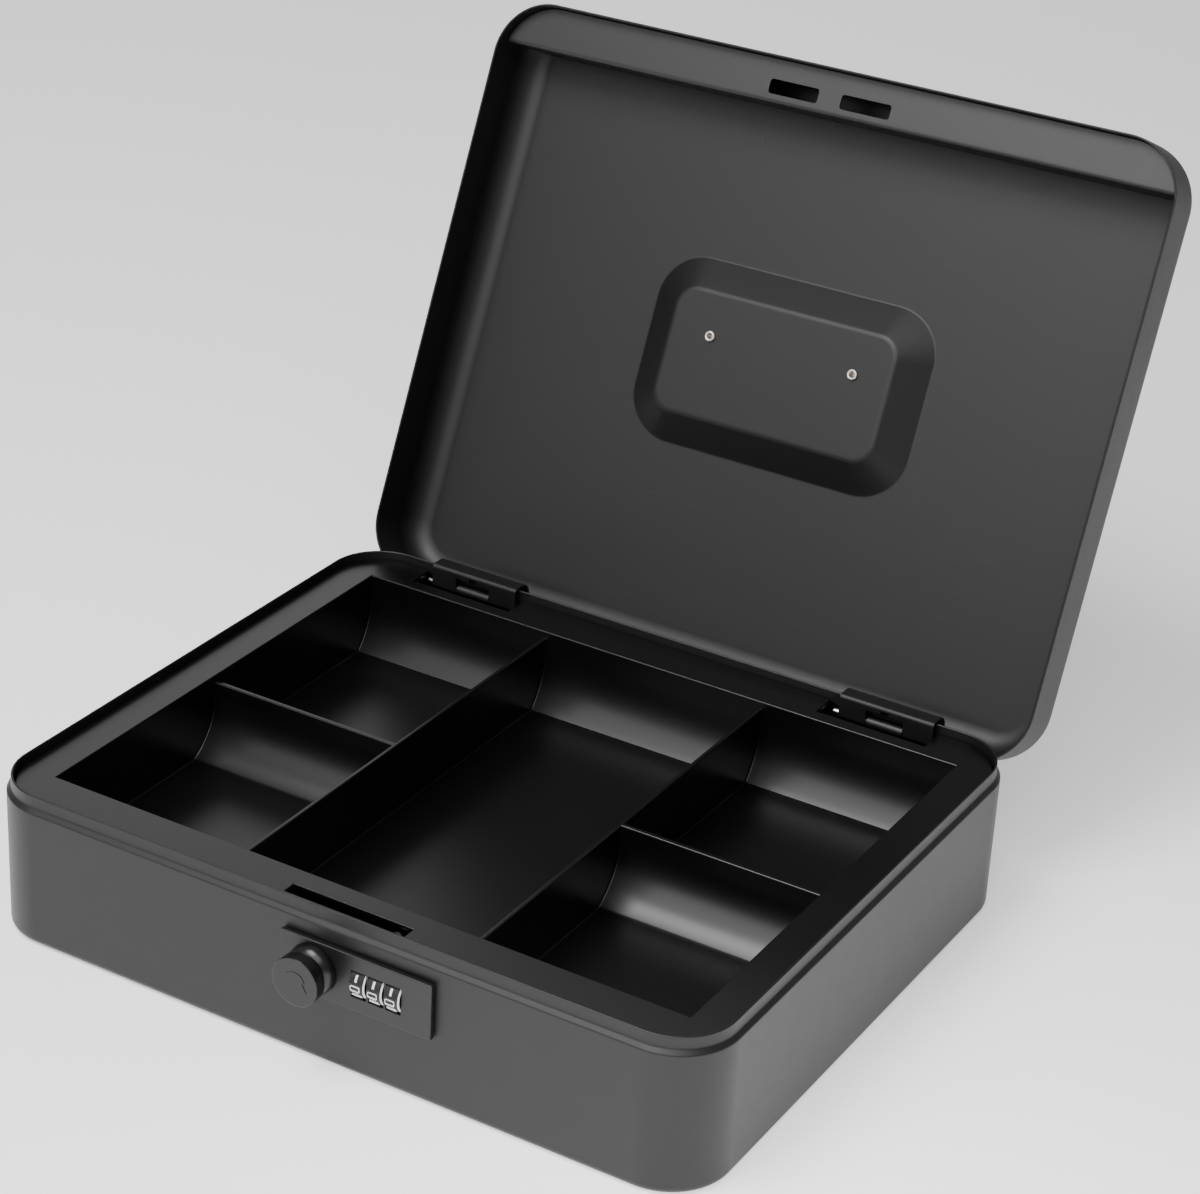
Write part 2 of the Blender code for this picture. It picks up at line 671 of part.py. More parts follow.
def make_tray():
    inset = JOGGLE_RUN + SHEET + TRAY_CLEARANCE
    flange = rounded_outline(HALF_X - inset, HALF_Y - inset, CORNER_RADIUS - inset, CORNER_STEPS)
    tray = plate("coin_tray", [flange], TRAY_FLANGE, (0, 0, TRAY_FLANGE_TOP - TRAY_FLANGE / 2), "up",
                 BLACK_PLASTIC)
    front = TRAY_FRONT_MARGIN - HALF_Y
    rear = HALF_Y - TRAY_REAR_MARGIN
    bottom = TRAY_FLOOR_TOP - TRAY_WALL
    height = TRAY_FLANGE_TOP - TRAY_FLANGE / 2 - bottom
    basin = block("tray_basin", (2 * (TRAY_HALF_OPENING + TRAY_WALL), rear - front + 2 * TRAY_WALL, height),
                  (0, (front + rear) / 2, bottom + height / 2))
    join(tray, basin)
    mouth = block("tray_mouth", (2 * TRAY_HALF_OPENING, rear - front, DIVIDER_DROP + CUT_OVERRUN),
                  (0, (front + rear) / 2, TRAY_FLANGE_TOP + (CUT_OVERRUN - DIVIDER_DROP) / 2))
    cut(tray, mouth)
    edge = DIVIDER_X + DIVIDER / 2
    columns = {"left": (-TRAY_HALF_OPENING, -edge), "right": (edge, TRAY_HALF_OPENING)}
    for side, (left, right) in columns.items():
        cut(tray, tray_pocket(f"pocket_front_{side}", left, right, front, DIVIDER_Y - DIVIDER / 2,
                              SCOOP_RUN_MIDDLE))
        cut(tray, tray_pocket(f"pocket_rear_{side}", left, right, DIVIDER_Y + DIVIDER / 2, rear, SCOOP_RUN))
    middle = DIVIDER_X - DIVIDER / 2
    cut(tray, tray_pocket("pocket_middle", -middle, middle, front, rear, SCOOP_RUN))
    reach = math.sqrt(CLAW_OUTER ** 2 - (TRAY_FLANGE_BOTTOM - LOCK_HEIGHT) ** 2)
    nose_radius = (CLAW_OUTER - CLAW_INNER) / 2
    nose = (CLAW_INNER + nose_radius) * math.sin(math.radians(CLAW_TIP_DEGREES)) + nose_radius
    slot_left = KNOB_X - nose - CLAW_SLOT_LEFT_MARGIN
    slot_right = KNOB_X + reach + CLAW_SLOT_RIGHT_MARGIN
    slot = block("claw_slot", (slot_right - slot_left, CLAW_SLOT_WIDTH, TRAY_FLANGE + CUT_OVERRUN),
                 ((slot_left + slot_right) / 2, CLAW_Y - CLAW_SLOT_ADVANCE,
                  TRAY_FLANGE_TOP - TRAY_FLANGE / 2))
    cut(tray, slot)
    corner = LEAF_MIDDLE - LEAF_CORNER_RADIUS
    swing = math.hypot(corner, corner) + LEAF_CORNER_RADIUS + LEAF_SHEET / 2
    notch_front = PIVOT.y - swing - HINGE_NOTCH_GAP
    for side in (-1, 1):
        notch = block(f"hinge_notch_{side}",
                      (LEAF_WIDTH + 2 * HINGE_NOTCH_MARGIN, 2 * (HALF_Y - notch_front),
                       TRAY_FLANGE + CUT_OVERRUN),
                      (side * (LEAF_CENTRE_X - HINGE_NOTCH_SHIFT), HALF_Y, TRAY_FLANGE_TOP - TRAY_FLANGE / 2))
        cut(tray, notch)
    return tray


make_tray()


# Rails under the tray's side flanges
def make_rail(name, side):
    wall = HALF_X - SHEET - SEAT_GAP
    top = TRAY_FLANGE_BOTTOM - SEAT_GAP - SHEET / 2
    line = wall - SHEET / 2
    knee = WALL_TOP - INNER_DROP - RAIL_KNEE
    path = [(side * line, knee - RAIL_LEG), (side * line, knee), (side * (line - (top - knee)), top),
            (side * (line - RAIL_SHELF), top)]
    length = 2 * (HALF_Y - RAIL_END_INSET)
    rail = plate(f"tray_rail_{name}", [strip(path, SHEET)], length, (0, 0, 0), "front", BLACK_COAT)
    shade(rail)


make_rail("left", -1)
make_rail("right", 1)


# Lock
def wheel_x(index):
    return WHEEL_FIRST_X + WHEEL_PITCH * index


WHEEL_GROUP_LEFT = wheel_x(0) - WHEEL_WIDTH / 2
WHEEL_GROUP_RIGHT = wheel_x(WHEEL_COUNT - 1) + WHEEL_WIDTH / 2
SCREW_PLACES = [(x, LOCK_HEIGHT + dz * SCREW_SPACING_Z / 2)
                for x in (PLATE_LEFT + SCREW_EDGE, PLATE_LEFT + PLATE_WIDTH - SCREW_EDGE) for dz in (-1, 1)]


def lock_openings(target, left, right):
    """The wall opening that the wheels and the spindle pass, and the four screw holes."""
    opening = block("lock_opening", (right - left, PLATE_PROUD + CUT_OVERRUN, 2 * WALL_OPENING_HALF_HEIGHT),
                    ((left + right) / 2, -HALF_Y, LOCK_HEIGHT))
    cut(target, opening)
    for i, (x, z) in enumerate(SCREW_PLACES):
        hole = cylinder(f"wall_screw_hole_{i}", SCREW_RADIUS + SEAT_GAP, 2 * CUT_OVERRUN,
                        (x, -HALF_Y, z), "Y", steps=12)
        cut(target, hole)


lock_openings(base, PLATE_LEFT + WALL_OPENING_MARGIN, PLATE_LEFT + PLATE_WIDTH - WALL_OPENING_MARGIN)


def make_lock_plate():
    """The cover plate with three wheel windows, a spindle hole and blind screw holes at its back."""
    thickness = PLATE_PROUD - SEAT_GAP
    middle_y = PLATE_FACE_Y + thickness / 2
    lock_plate = block("lock_plate", (PLATE_WIDTH, thickness, PLATE_HEIGHT),
                       (PLATE_X, middle_y, LOCK_HEIGHT), BLACK_COAT)
    bevel(lock_plate, PLATE_BEVEL)
    chord_depth = WHEEL_PROUD + PLATE_PROUD
    half_window = math.sqrt(WHEEL_RADIUS ** 2 - (WHEEL_RADIUS - chord_depth) ** 2) + WHEEL_WINDOW_GAP
    for i in range(WHEEL_COUNT):
        window = block(f"wheel_window_{i}",
                       (WHEEL_WIDTH + 2 * WINDOW_SIDE_GAP, PLATE_PROUD + CUT_OVERRUN, 2 * half_window),
                       (wheel_x(i), middle_y, LOCK_HEIGHT))
        cut(lock_plate, window)
    spindle_hole = cylinder("spindle_hole", SPINDLE_RADIUS + SEAT_GAP, PLATE_PROUD + CUT_OVERRUN,
                            (KNOB_X, middle_y, LOCK_HEIGHT), "Y")
    cut(lock_plate, spindle_hole)
    for i, (x, z) in enumerate(SCREW_PLACES):
        depth = SCREW_BITE + SEAT_GAP
        back = -HALF_Y - SEAT_GAP
        hole = cylinder(f"plate_screw_hole_{i}", SCREW_RADIUS + SEAT_GAP, 2 * depth, (x, back, z), "Y",
                        steps=12)
        cut(lock_plate, hole)
    return lock_plate


make_lock_plate()


def make_housing():
    """A die-cast box behind the wall: a spindle chamber, a wheel chamber between two ribs, screw posts."""
    left = PLATE_LEFT
    right = PLATE_LEFT + PLATE_WIDTH
    depth = HOUSING_FRONT - HOUSING_REAR
    centre_y = -(HOUSING_FRONT + HOUSING_REAR) / 2
    housing = block("lock_housing", (right - left, depth, 2 * HOUSING_HALF_HEIGHT),
                    ((left + right) / 2, centre_y, LOCK_HEIGHT), DARK_ZINC)
    post = 2 * SCREW_EDGE
    rib_left = WHEEL_GROUP_LEFT - WINDOW_SIDE_GAP - RIB
    rib_right = WHEEL_GROUP_RIGHT + WINDOW_SIDE_GAP + RIB
    chambers = [("spindle", left + post, rib_left), ("wheel", rib_left + RIB, rib_right - RIB),
                ("end", rib_right, right - post)]
    inner_depth = HOUSING_FRONT - HOUSING_INNER_REAR
    for name, low, high in chambers:
        chamber = block(f"{name}_chamber",
                        (high - low, 2 * inner_depth, 2 * (HOUSING_HALF_HEIGHT - HOUSING_WALL)),
                        ((low + high) / 2, -HOUSING_FRONT, LOCK_HEIGHT))
        cut(housing, chamber)
    spindle_bore = cylinder("housing_spindle_bore", SPINDLE_RADIUS + RUN_GAP, 4 * HOUSING_REAR_WALL,
                            (KNOB_X, -HOUSING_REAR, LOCK_HEIGHT), "Y")
    cut(housing, spindle_bore)
    axle_bore = cylinder("housing_axle_bore", AXLE_RADIUS + SEAT_GAP,
                         rib_right - rib_left + 2 * RUN_GAP,
                         ((rib_left + rib_right) / 2, WHEEL_AXIS_Y, LOCK_HEIGHT),
                         "X", steps=14)
    cut(housing, axle_bore)
    for i, (x, z) in enumerate(SCREW_PLACES):
        hole = cylinder(f"housing_screw_hole_{i}", SCREW_RADIUS + SEAT_GAP, depth + CUT_OVERRUN,
                        (x, centre_y, z), "Y", steps=12)
        cut(housing, hole)
    return rib_left, rib_right


RIB_LEFT, RIB_RIGHT = make_housing()
cylinder("wheel_axle", AXLE_RADIUS, RIB_RIGHT - RIB_LEFT,
         ((RIB_LEFT + RIB_RIGHT) / 2, WHEEL_AXIS_Y, LOCK_HEIGHT),
         "X", BARE_STEEL, steps=14)


def make_wheel(index):
    """A number wheel: a smooth rim with a narrow chamfer on its right side, bored for the axle."""
    half = WHEEL_WIDTH / 2
    bore = AXLE_RADIUS + RUN_GAP
    profile = [(bore, half), (WHEEL_RADIUS - WHEEL_CHAMFER, half), (WHEEL_RADIUS, half - WHEEL_CHAMFER),
               (WHEEL_RADIUS, -half), (bore, -half)]
    turned(f"number_wheel_{index + 1}", profile, (wheel_x(index), WHEEL_AXIS_Y, LOCK_HEIGHT), "X",
           WHEEL_BLACK, steps=30, closed=True)


for wheel in range(WHEEL_COUNT):
    make_wheel(wheel)


def make_detent_spring():
    """A comb of flat fingers over the wheels, held along the housing's rear wall."""
    left = RIB_LEFT + RIB + SEAT_GAP
    right = RIB_RIGHT - RIB - SEAT_GAP
    back = -HOUSING_INNER_REAR - SEAT_GAP
    root = back - SPRING_FINGER / 2
    tip = WHEEL_AXIS_Y
    outline = [(left, back), (right, back), (right, root)]
    for i in reversed(range(WHEEL_COUNT)):
        x = wheel_x(i)
        outline += [(x + SPRING_FINGER / 2, root), (x + SPRING_FINGER / 2, tip),
                    (x - SPRING_FINGER / 2, tip), (x - SPRING_FINGER / 2, root)]
    outline += [(left, root)]
    z = LOCK_HEIGHT + WHEEL_RADIUS + RUN_GAP + SPRING_THICKNESS / 2
    plate("detent_spring", [outline], SPRING_THICKNESS, (0, 0, z), "up", BARE_STEEL)


make_detent_spring()


KNOB_AT = Vector((KNOB_X, PLATE_FACE_Y, LOCK_HEIGHT))


def make_knob():
    """A knob with a flat cap, a waisted neck, a round-shouldered collar and a socket for the spindle."""
    back = SEAT_GAP
    lip_top = back + KNOB_LIP
    cap_bottom = KNOB_LENGTH - KNOB_CAP
    socket = SPINDLE_RADIUS + SEAT_GAP
    shoulder = arc(KNOB_COLLAR_RADIUS - KNOB_SHOULDER, lip_top, KNOB_SHOULDER, 90, 0, 4)
    profile = [(0, KNOB_LENGTH), (KNOB_RADIUS - KNOB_EDGE, KNOB_LENGTH),
               (KNOB_RADIUS, KNOB_LENGTH - KNOB_EDGE),
               (KNOB_RADIUS, cap_bottom + KNOB_EDGE), (KNOB_RADIUS - KNOB_EDGE, cap_bottom),
               (KNOB_NECK_RADIUS, cap_bottom - KNOB_EDGE),
               (KNOB_NECK_RADIUS, lip_top + KNOB_SHOULDER + KNOB_EDGE)]
    profile += shoulder + [(KNOB_COLLAR_RADIUS, back), (socket, back), (socket, KNOB_SOCKET),
                           (0, KNOB_SOCKET)]
    turned("knob", profile, KNOB_AT, "Y", BLACK_COAT)


make_knob()


def make_spindle():
    """A round spindle with a flange inside the housing and a square end that drives the claw."""
    front = PLATE_FACE_Y - KNOB_SOCKET + SEAT_GAP
    shoulder = -HOUSING_REAR + SEAT_GAP
    end = CLAW_Y + CLAW_THICKNESS / 2 + SEAT_GAP + NUT_THICKNESS + SEAT_GAP
    spindle = cylinder("knob_spindle", SPINDLE_RADIUS, shoulder - front,
                       (KNOB_X, (front + shoulder) / 2, LOCK_HEIGHT),
                       "Y", BARE_STEEL)
    square = block("spindle_square", (SPINDLE_SQUARE, 2 * (end - shoulder), SPINDLE_SQUARE),
                   (KNOB_X, shoulder, LOCK_HEIGHT))
    join(spindle, square)
    flange = cylinder("spindle_flange", SPINDLE_FLANGE_RADIUS, SPINDLE_FLANGE,
                      (KNOB_X, -HOUSING_INNER_REAR - SEAT_GAP - SPINDLE_FLANGE / 2, LOCK_HEIGHT), "Y")
    join(spindle, flange)


make_spindle()


def make_claw():
    """A flat plate: a square-holed hub, an arm, and a curved hook round the spindle's axis."""
    tail = CLAW_TAIL_DEGREES
    tip = CLAW_TIP_DEGREES
    arm = -CLAW_ARM_DEGREES
    spread = math.degrees(math.asin(CLAW_HUB / CLAW_INNER)) / 2
    mid = (CLAW_INNER + CLAW_OUTER) / 2
    nose = arc(mid * math.cos(math.radians(tip)), mid * math.sin(math.radians(tip)),
               (CLAW_OUTER - CLAW_INNER) / 2, tip, tip + 150, 5)
    outline = arc(0, 0, CLAW_OUTER, tail, tip, 10)[:-1] + nose
    outline += arc(0, 0, CLAW_INNER, tip - 2, arm + spread, 5)
    outline += arc(0, 0, CLAW_HUB, arm + 50, arm + 310, 12)
    outline += arc(0, 0, CLAW_INNER, arm - spread, tail, 2)
    half = SPINDLE_SQUARE / 2 + SEAT_GAP
    hole = [(-half, -half), (half, -half), (half, half), (-half, half)]
    plate("latch_claw", [outline, hole], CLAW_THICKNESS, (KNOB_X, CLAW_Y, LOCK_HEIGHT), "front", DARK_ZINC)
    nut = rounded_outline(NUT_RADIUS, NUT_RADIUS, NUT_RADIUS / 2, 1)
    plate("spindle_nut", [nut, hole], NUT_THICKNESS,
          (KNOB_X, CLAW_Y + CLAW_THICKNESS / 2 + SEAT_GAP + NUT_THICKNESS / 2, LOCK_HEIGHT),
          "front", BARE_STEEL)


make_claw()


def make_lock_screws():
    """Four screws from the housing's back, through the wall, into the cover plate."""
    head_seat = -HOUSING_REAR + SEAT_GAP
    tip = -HALF_Y - SEAT_GAP - SCREW_BITE
    length = head_seat - tip
    for i, (x, z) in enumerate(SCREW_PLACES):
        profile = [(0, length), (SCREW_RADIUS, length), (SCREW_RADIUS, 0), (SCREW_HEAD_RADIUS, 0),
                   (SCREW_HEAD_RADIUS, -SCREW_HEAD / 2),
                   (SCREW_HEAD_RADIUS * SCREW_HEAD_TOP_SHARE, -SCREW_HEAD),
                   (0, -SCREW_HEAD)]
        turned(f"lock_screw_{i + 1}", profile, (x, head_seat, z), "Y", BARE_STEEL, steps=12)


make_lock_screws()

# Handle: it hangs free from its lugs while the lid is open
HANDLE_AXIS = make_empty("handle_axis", HANDLE_PIVOT, OPEN - math.radians(90), LID_AXIS)


def make_bail():
    """A round wire bail: two turned-in ends on the pivot, two arms and a straight grip."""
    corner = HANDLE_BEND
    path = [(HANDLE_END, 0)]
    path += arc(HANDLE_HALF_WIDTH - corner / 2, corner / 2, corner / 2, -90, 0, 3)
    path += arc(HANDLE_HALF_WIDTH - corner, HANDLE_REACH - corner, corner, 0, 90, 5)
    points = path + [(-x, y) for x, y in reversed(path)]
    curve = bpy.data.curves.new("handle_bail", "CURVE")
    curve.dimensions = "3D"
    curve.bevel_depth = HANDLE_WIRE_RADIUS
    curve.bevel_resolution = 2
    curve.use_fill_caps = True
    spline = curve.splines.new("POLY")
    spline.points.add(len(points) - 1)
    for point, (x, y) in zip(spline.points, points):
        point.co = (x, y, 0, 1)
    bail = finish(bpy.data.objects.new("handle_bail", curve), BLACK_COAT)
    place(bail, HANDLE_PIVOT, "up", HANDLE_AXIS)


make_bail()


def make_lug(name, side):
    """A riveted foot with a rolled eye that the bail's end turns in."""
    eye = HANDLE_WIRE_RADIUS + SEAT_GAP
    outer = eye + LUG_BARREL_WALL
    barrel_end = LUG_BARREL_START + LUG_BARREL_LENGTH
    floor_z = RECESS_FLOOR + SEAT_GAP
    lug = block(f"handle_lug_{name}", (barrel_end - LUG_INNER_X, 2 * LUG_HALF_WIDTH, LUG_THICKNESS),
                (HANDLE_X + side * (LUG_INNER_X + barrel_end) / 2, HANDLE_PIVOT.y,
                 floor_z + LUG_THICKNESS / 2),
                BLACK_COAT, LID_AXIS)
    middle = HANDLE_X + side * (LUG_BARREL_START + LUG_BARREL_LENGTH / 2)
    barrel = cylinder(f"lug_barrel_{name}", outer, LUG_BARREL_LENGTH,
                      (middle, HANDLE_PIVOT.y, HANDLE_PIVOT.z), "X",
                      parent=LID_AXIS)
    saddle_height = HANDLE_PIVOT.z - floor_z
    saddle = block(f"lug_saddle_{name}", (LUG_BARREL_LENGTH, 2 * outer * LUG_SADDLE_SHARE, saddle_height),
                   (middle, HANDLE_PIVOT.y, floor_z + saddle_height / 2), parent=LID_AXIS)
    bore = cylinder(f"lug_bore_{name}", eye, LUG_BARREL_LENGTH + CUT_OVERRUN,
                    (middle, HANDLE_PIVOT.y, HANDLE_PIVOT.z),
                    "X", parent=LID_AXIS)
    rivet_hole = cylinder(f"lug_rivet_hole_{name}", RIVET_HOLE_RADIUS, LUG_THICKNESS + CUT_OVERRUN,
                          (HANDLE_X + side * RIVET_X, HANDLE_PIVOT.y, floor_z), "Z", parent=LID_AXIS,
                          steps=14)
    join(lug, barrel)
    join(lug, saddle)
    cut(lug, bore)
    cut(lug, rivet_hole)
    panel_hole = cylinder(f"lid_rivet_hole_{name}", RIVET_HOLE_RADIUS, SHEET + CUT_OVERRUN,
                          (HANDLE_X + side * RIVET_X, HANDLE_PIVOT.y, RECESS_FLOOR - SHEET / 2), "Z",
                          parent=LID_AXIS, steps=14)
    cut(lid, panel_hole)


def make_rivet(name, side):
    """A tubular rivet through the panel and the lug's foot; its rolled end shows inside the lid."""
    top_seat = RECESS_FLOOR + SEAT_GAP + LUG_THICKNESS + SEAT_GAP
    low_seat = RECESS_FLOOR - SHEET - SEAT_GAP
    middle = (top_seat + low_seat) / 2
    top = top_seat - middle
    profile = [(0, top + RIVET_HEAD), (RIVET_HEAD_RADIUS * RIVET_TOP_SHARE, top + RIVET_HEAD),
               (RIVET_HEAD_RADIUS, top + RIVET_HEAD / 2), (RIVET_HEAD_RADIUS, top),
               (RIVET_SHANK_RADIUS, top), (RIVET_SHANK_RADIUS, -top),
               (RIVET_HEAD_RADIUS, -top), (RIVET_HEAD_RADIUS, -top - RIVET_HEAD / 2),
               (RIVET_HEAD_RADIUS * RIVET_CROWN_SHARE, -top - RIVET_HEAD),
               (RIVET_DIMPLE_RADIUS, -top - RIVET_HEAD * RIVET_DIMPLE_SHARE),
               (RIVET_DIMPLE_RADIUS * RIVET_DIMPLE_SHARE, -top - RIVET_HEAD + RIVET_DIMPLE),
               (0, -top - RIVET_HEAD + RIVET_DIMPLE)]
    turned(f"handle_rivet_{name}", profile, (HANDLE_X + side * RIVET_X, HANDLE_PIVOT.y, middle), "Z",
           BARE_STEEL, LID_AXIS, steps=16)


for side_name, side_sign in (("left", -1), ("right", 1)):
    make_lug(side_name, side_sign)
    make_rivet(side_name, side_sign)
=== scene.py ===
import math

import bmesh
import bpy
from mathutils import Matrix, Vector


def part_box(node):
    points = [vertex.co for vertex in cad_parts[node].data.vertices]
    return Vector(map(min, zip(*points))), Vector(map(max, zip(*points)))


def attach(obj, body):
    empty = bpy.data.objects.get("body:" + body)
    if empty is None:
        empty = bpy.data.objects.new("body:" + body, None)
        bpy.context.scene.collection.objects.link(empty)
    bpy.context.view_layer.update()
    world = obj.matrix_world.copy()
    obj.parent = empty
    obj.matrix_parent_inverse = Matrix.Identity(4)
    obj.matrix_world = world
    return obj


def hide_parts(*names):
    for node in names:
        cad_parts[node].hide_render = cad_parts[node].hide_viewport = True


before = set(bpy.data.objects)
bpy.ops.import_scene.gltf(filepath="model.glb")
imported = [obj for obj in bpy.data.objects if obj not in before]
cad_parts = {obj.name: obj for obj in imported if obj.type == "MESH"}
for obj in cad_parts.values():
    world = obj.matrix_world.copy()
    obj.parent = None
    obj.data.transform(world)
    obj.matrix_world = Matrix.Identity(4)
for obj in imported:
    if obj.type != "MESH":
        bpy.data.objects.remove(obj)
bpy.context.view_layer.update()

MM = 0.001

# Mesh work, with angles in degrees
SAME_PLACE = 0.001 * MM
RING_MERGE = 0.002 * MM
SLIVER = 0.005 * MM
NEAR = 0.01 * MM
CUT_PAST = 1.0 * MM
SHEET_EDGE = 0.12 * MM
FINE_EDGE = 0.15 * MM
CAST_EDGE = 0.2 * MM
SPINDLE_EDGE = 0.1 * MM
PIN_EDGE = 0.15 * MM
HOLE_SIDES = 24
FLAT_ANGLE = 1.0
FACET_ANGLE = 1.5
CORNER_ANGLE = 50
PRESSING_SHARP = 28
KNOB_SHARP = 30
MOULDING_SHARP = 40

# Pressed box
HALF_X = 150.0 * MM
HALF_Y = 122.0 * MM
CORNER_RADIUS = 24.0 * MM
CORNER_STEPS = 20
SHEET = 0.9 * MM
FLOOR_RADIUS = 3.0 * MM
WALL_TOP = 55.5 * MM
JOGGLE_RUN = 1.7 * MM
JOGGLE_RISE = 1.7 * MM
RIM_TOP = 61.9 * MM
BEND_SOFTNESS = 0.45 * MM
LOCK_OPENING_INSET = 6.2 * MM
LOCK_OPENING_HALF = 7.6 * MM

# Lid, as in the closed box
LID_TOP = 87.2 * MM
LID_INSET = 0.3 * MM
LID_EDGE = 57.4 * MM
LID_EDGE_RADIUS = 11.3 * MM
REAR_TRIM_TOP = 60.4 * MM
REAR_TRIM_HALF = 140.0 * MM
REAR_TRIM_DEPTH = 5.2 * MM
RECESS_HALF = (62.5 * MM, 38.4 * MM)
RECESS_RADIUS = 20.0 * MM
RECESS_RUN = 13.0 * MM
RECESS_DEPTH = 8.5 * MM
RECESS_CREASE = 0.5 * MM
RECESS_EASE = 1.3 * MM
PIVOT = Vector((0, 118.4 * MM, 54.4 * MM))
OPEN_ANGLE = math.radians(113.7)
RIVET_X = 32.2 * MM
HANDLE_X = 1.3 * MM
HANDLE_PIVOT_Y = -7.8 * MM
RIVET_HOLE_RADIUS = 1.7 * MM
RIVET_HOLE_SIDES = 45
RIVET_RADIUS = 2.3 * MM
RIVET_HEAD = 0.9 * MM
RIVET_BORE = 1.0 * MM
RIVET_BORE_TAPER = (0.8, 0.6)
LUG_SHEET = 1.0 * MM
SEAT_GAP = 0.3 * MM
LEAF_END_RADIUS = 3.0 * MM

# Coin tray
TRAY_TOP = 58.4 * MM
TRAY_FLANGE = 1.8 * MM
TRAY_WALL = 1.6 * MM
TRAY_HALF_OPENING = 132.3 * MM
TRAY_FRONT = -100.2 * MM
TRAY_REAR = 101.1 * MM
TRAY_FLOOR = 27.3 * MM
TRAY_EDGE_INSET = 3.2 * MM
DIVIDER = 1.8 * MM
DIVIDER_X = 49.0 * MM
DIVIDER_Y = -4.1 * MM
DIVIDER_DROP = 3.0 * MM
SCOOP_TOP = 51.5 * MM
SCOOP_RUN = 9.5 * MM
SCOOP_RUN_FRONT = 14.5 * MM
SCOOP_STEPS = 22
POCKET_FILLET = 0.5 * MM
TRAY_EDGE = 0.55 * MM
# The slot's left, right, width and middle Y, then each notch's middle X, width and front Y
CLAW_SLOT = (-20.0 * MM, 29.4 * MM, 5.4 * MM, -111.75 * MM)
HINGE_NOTCH = (93.3 * MM, 45.8 * MM, 107.35 * MM)

# Lock
LOCK_Z = 39.4 * MM
PLATE_FACE_Y = -124.5 * MM
PLATE_EDGE = 0.45 * MM
SPINDLE_HOLE = 3.3 * MM
SCREW_HOLE = 1.5 * MM
SCREW_END_GAP = 0.1 * MM
SCREWS = ("lock_screw_1", "lock_screw_2", "lock_screw_3", "lock_screw_4")
KNOB_X = -0.8 * MM
KNOB_LENGTH = 11.0 * MM
KNOB_RADIUS = 9.4 * MM
KNOB_CAP = 4.6 * MM
KNOB_EASE = 0.25 * MM
KNOB_FACE_RUN = 0.4 * MM
KNOB_NECK = 6.3 * MM
NECK_BEVEL = (0.3 * MM, 0.1 * MM, 0.4 * MM)
KNOB_COLLAR = 9.6 * MM
COLLAR_BEVEL = 0.15 * MM
KNOB_SHOULDER = (4.0 * MM, 4.3 * MM)
KNOB_LIP = 0.7 * MM
KNOB_BACK = 0.3 * MM
KNOB_SOCKET = (3.3 * MM, 6.0 * MM)
ARROW_RADIUS = 4.3 * MM
ARROW_LINE = 0.40 * MM
ARROW_DEPTH = 0.18 * MM
ARROW_SWEEP = (136, 10)
ARROW_HEAD = ((1.0 * MM, 0.2 * MM), (0.7 * MM, -2.9 * MM), (-1.3 * MM, 0.4 * MM))
WHEEL_X = (17.9 * MM, 25.0 * MM, 32.1 * MM)
WHEEL_Y = -119.6 * MM
WHEEL_RADIUS = 6.4 * MM
WHEEL_WIDTH = 6.0 * MM
WHEEL_BORE = 1.4 * MM
WHEEL_FACE = WHEEL_RADIUS * 0.966
WHEEL_SHOULDER = WHEEL_RADIUS * 0.985
WHEEL_GROOVE = WHEEL_RADIUS * 0.945
WHEEL_TURN = -8.0
DIGIT_COUNT = 10
FACE_REACH = 12.0
SHOULDER_REACH = (15.5, 17.0)
WINDOW_HALF = 3.1 * MM
WINDOW_REACH = (-5.4 * MM, 5.2 * MM)
RIM_CHAMFER = 0.4 * MM
RIM_SKIN = 0.25 * MM
RIM_STEPS = 72
DIGIT_WIDTH = 3.6 * MM
DIGIT_HEIGHT = 2.05 * MM
DIGIT_STROKE = 0.85 * MM
DIGIT_SHIFT = 0.5 * MM
DIGIT_CORNER = 0.35 * MM
PAINT_DEPTH = 0.10 * MM
PAINT_LIFT = 0.02 * MM

# Picture, with places in metres and angles in degrees
PHOTO_WIDTH_PIXELS = 1200.0
FOCAL_PIXELS = 3251.0
SENSOR = 36.0
CAMERA_PLACE = (0.53672, -0.88654, 0.65983)
CAMERA_AZIMUTH = 29.6106
CAMERA_ELEVATION = 26.9906
CAMERA_ROLL = 3.1213
VIEW_END = 20
FLOOR_HALF = 6
FLOOR_GAP = 0.2 * MM
FLOOR_ROUGHNESS = 0.75
GLOW_MIDDLE = (0.25, -0.20)
GLOW_REACH = 0.30
GLOW_LEVELS = (0.30, 1.5)
SKY_LEVELS = ((0.0, 0.25), (0.2, 0.28), (0.5, 0.5), (0.85, 0.3))

# Looks
PLASTIC_IOR = 1.46
DUST_SIZE = 0.022
DUST_SHARE = 0.64
LINE_WIDTH = 0.004
SCUFF_SHARE = 0.58
RUB_SHARE = 0.6


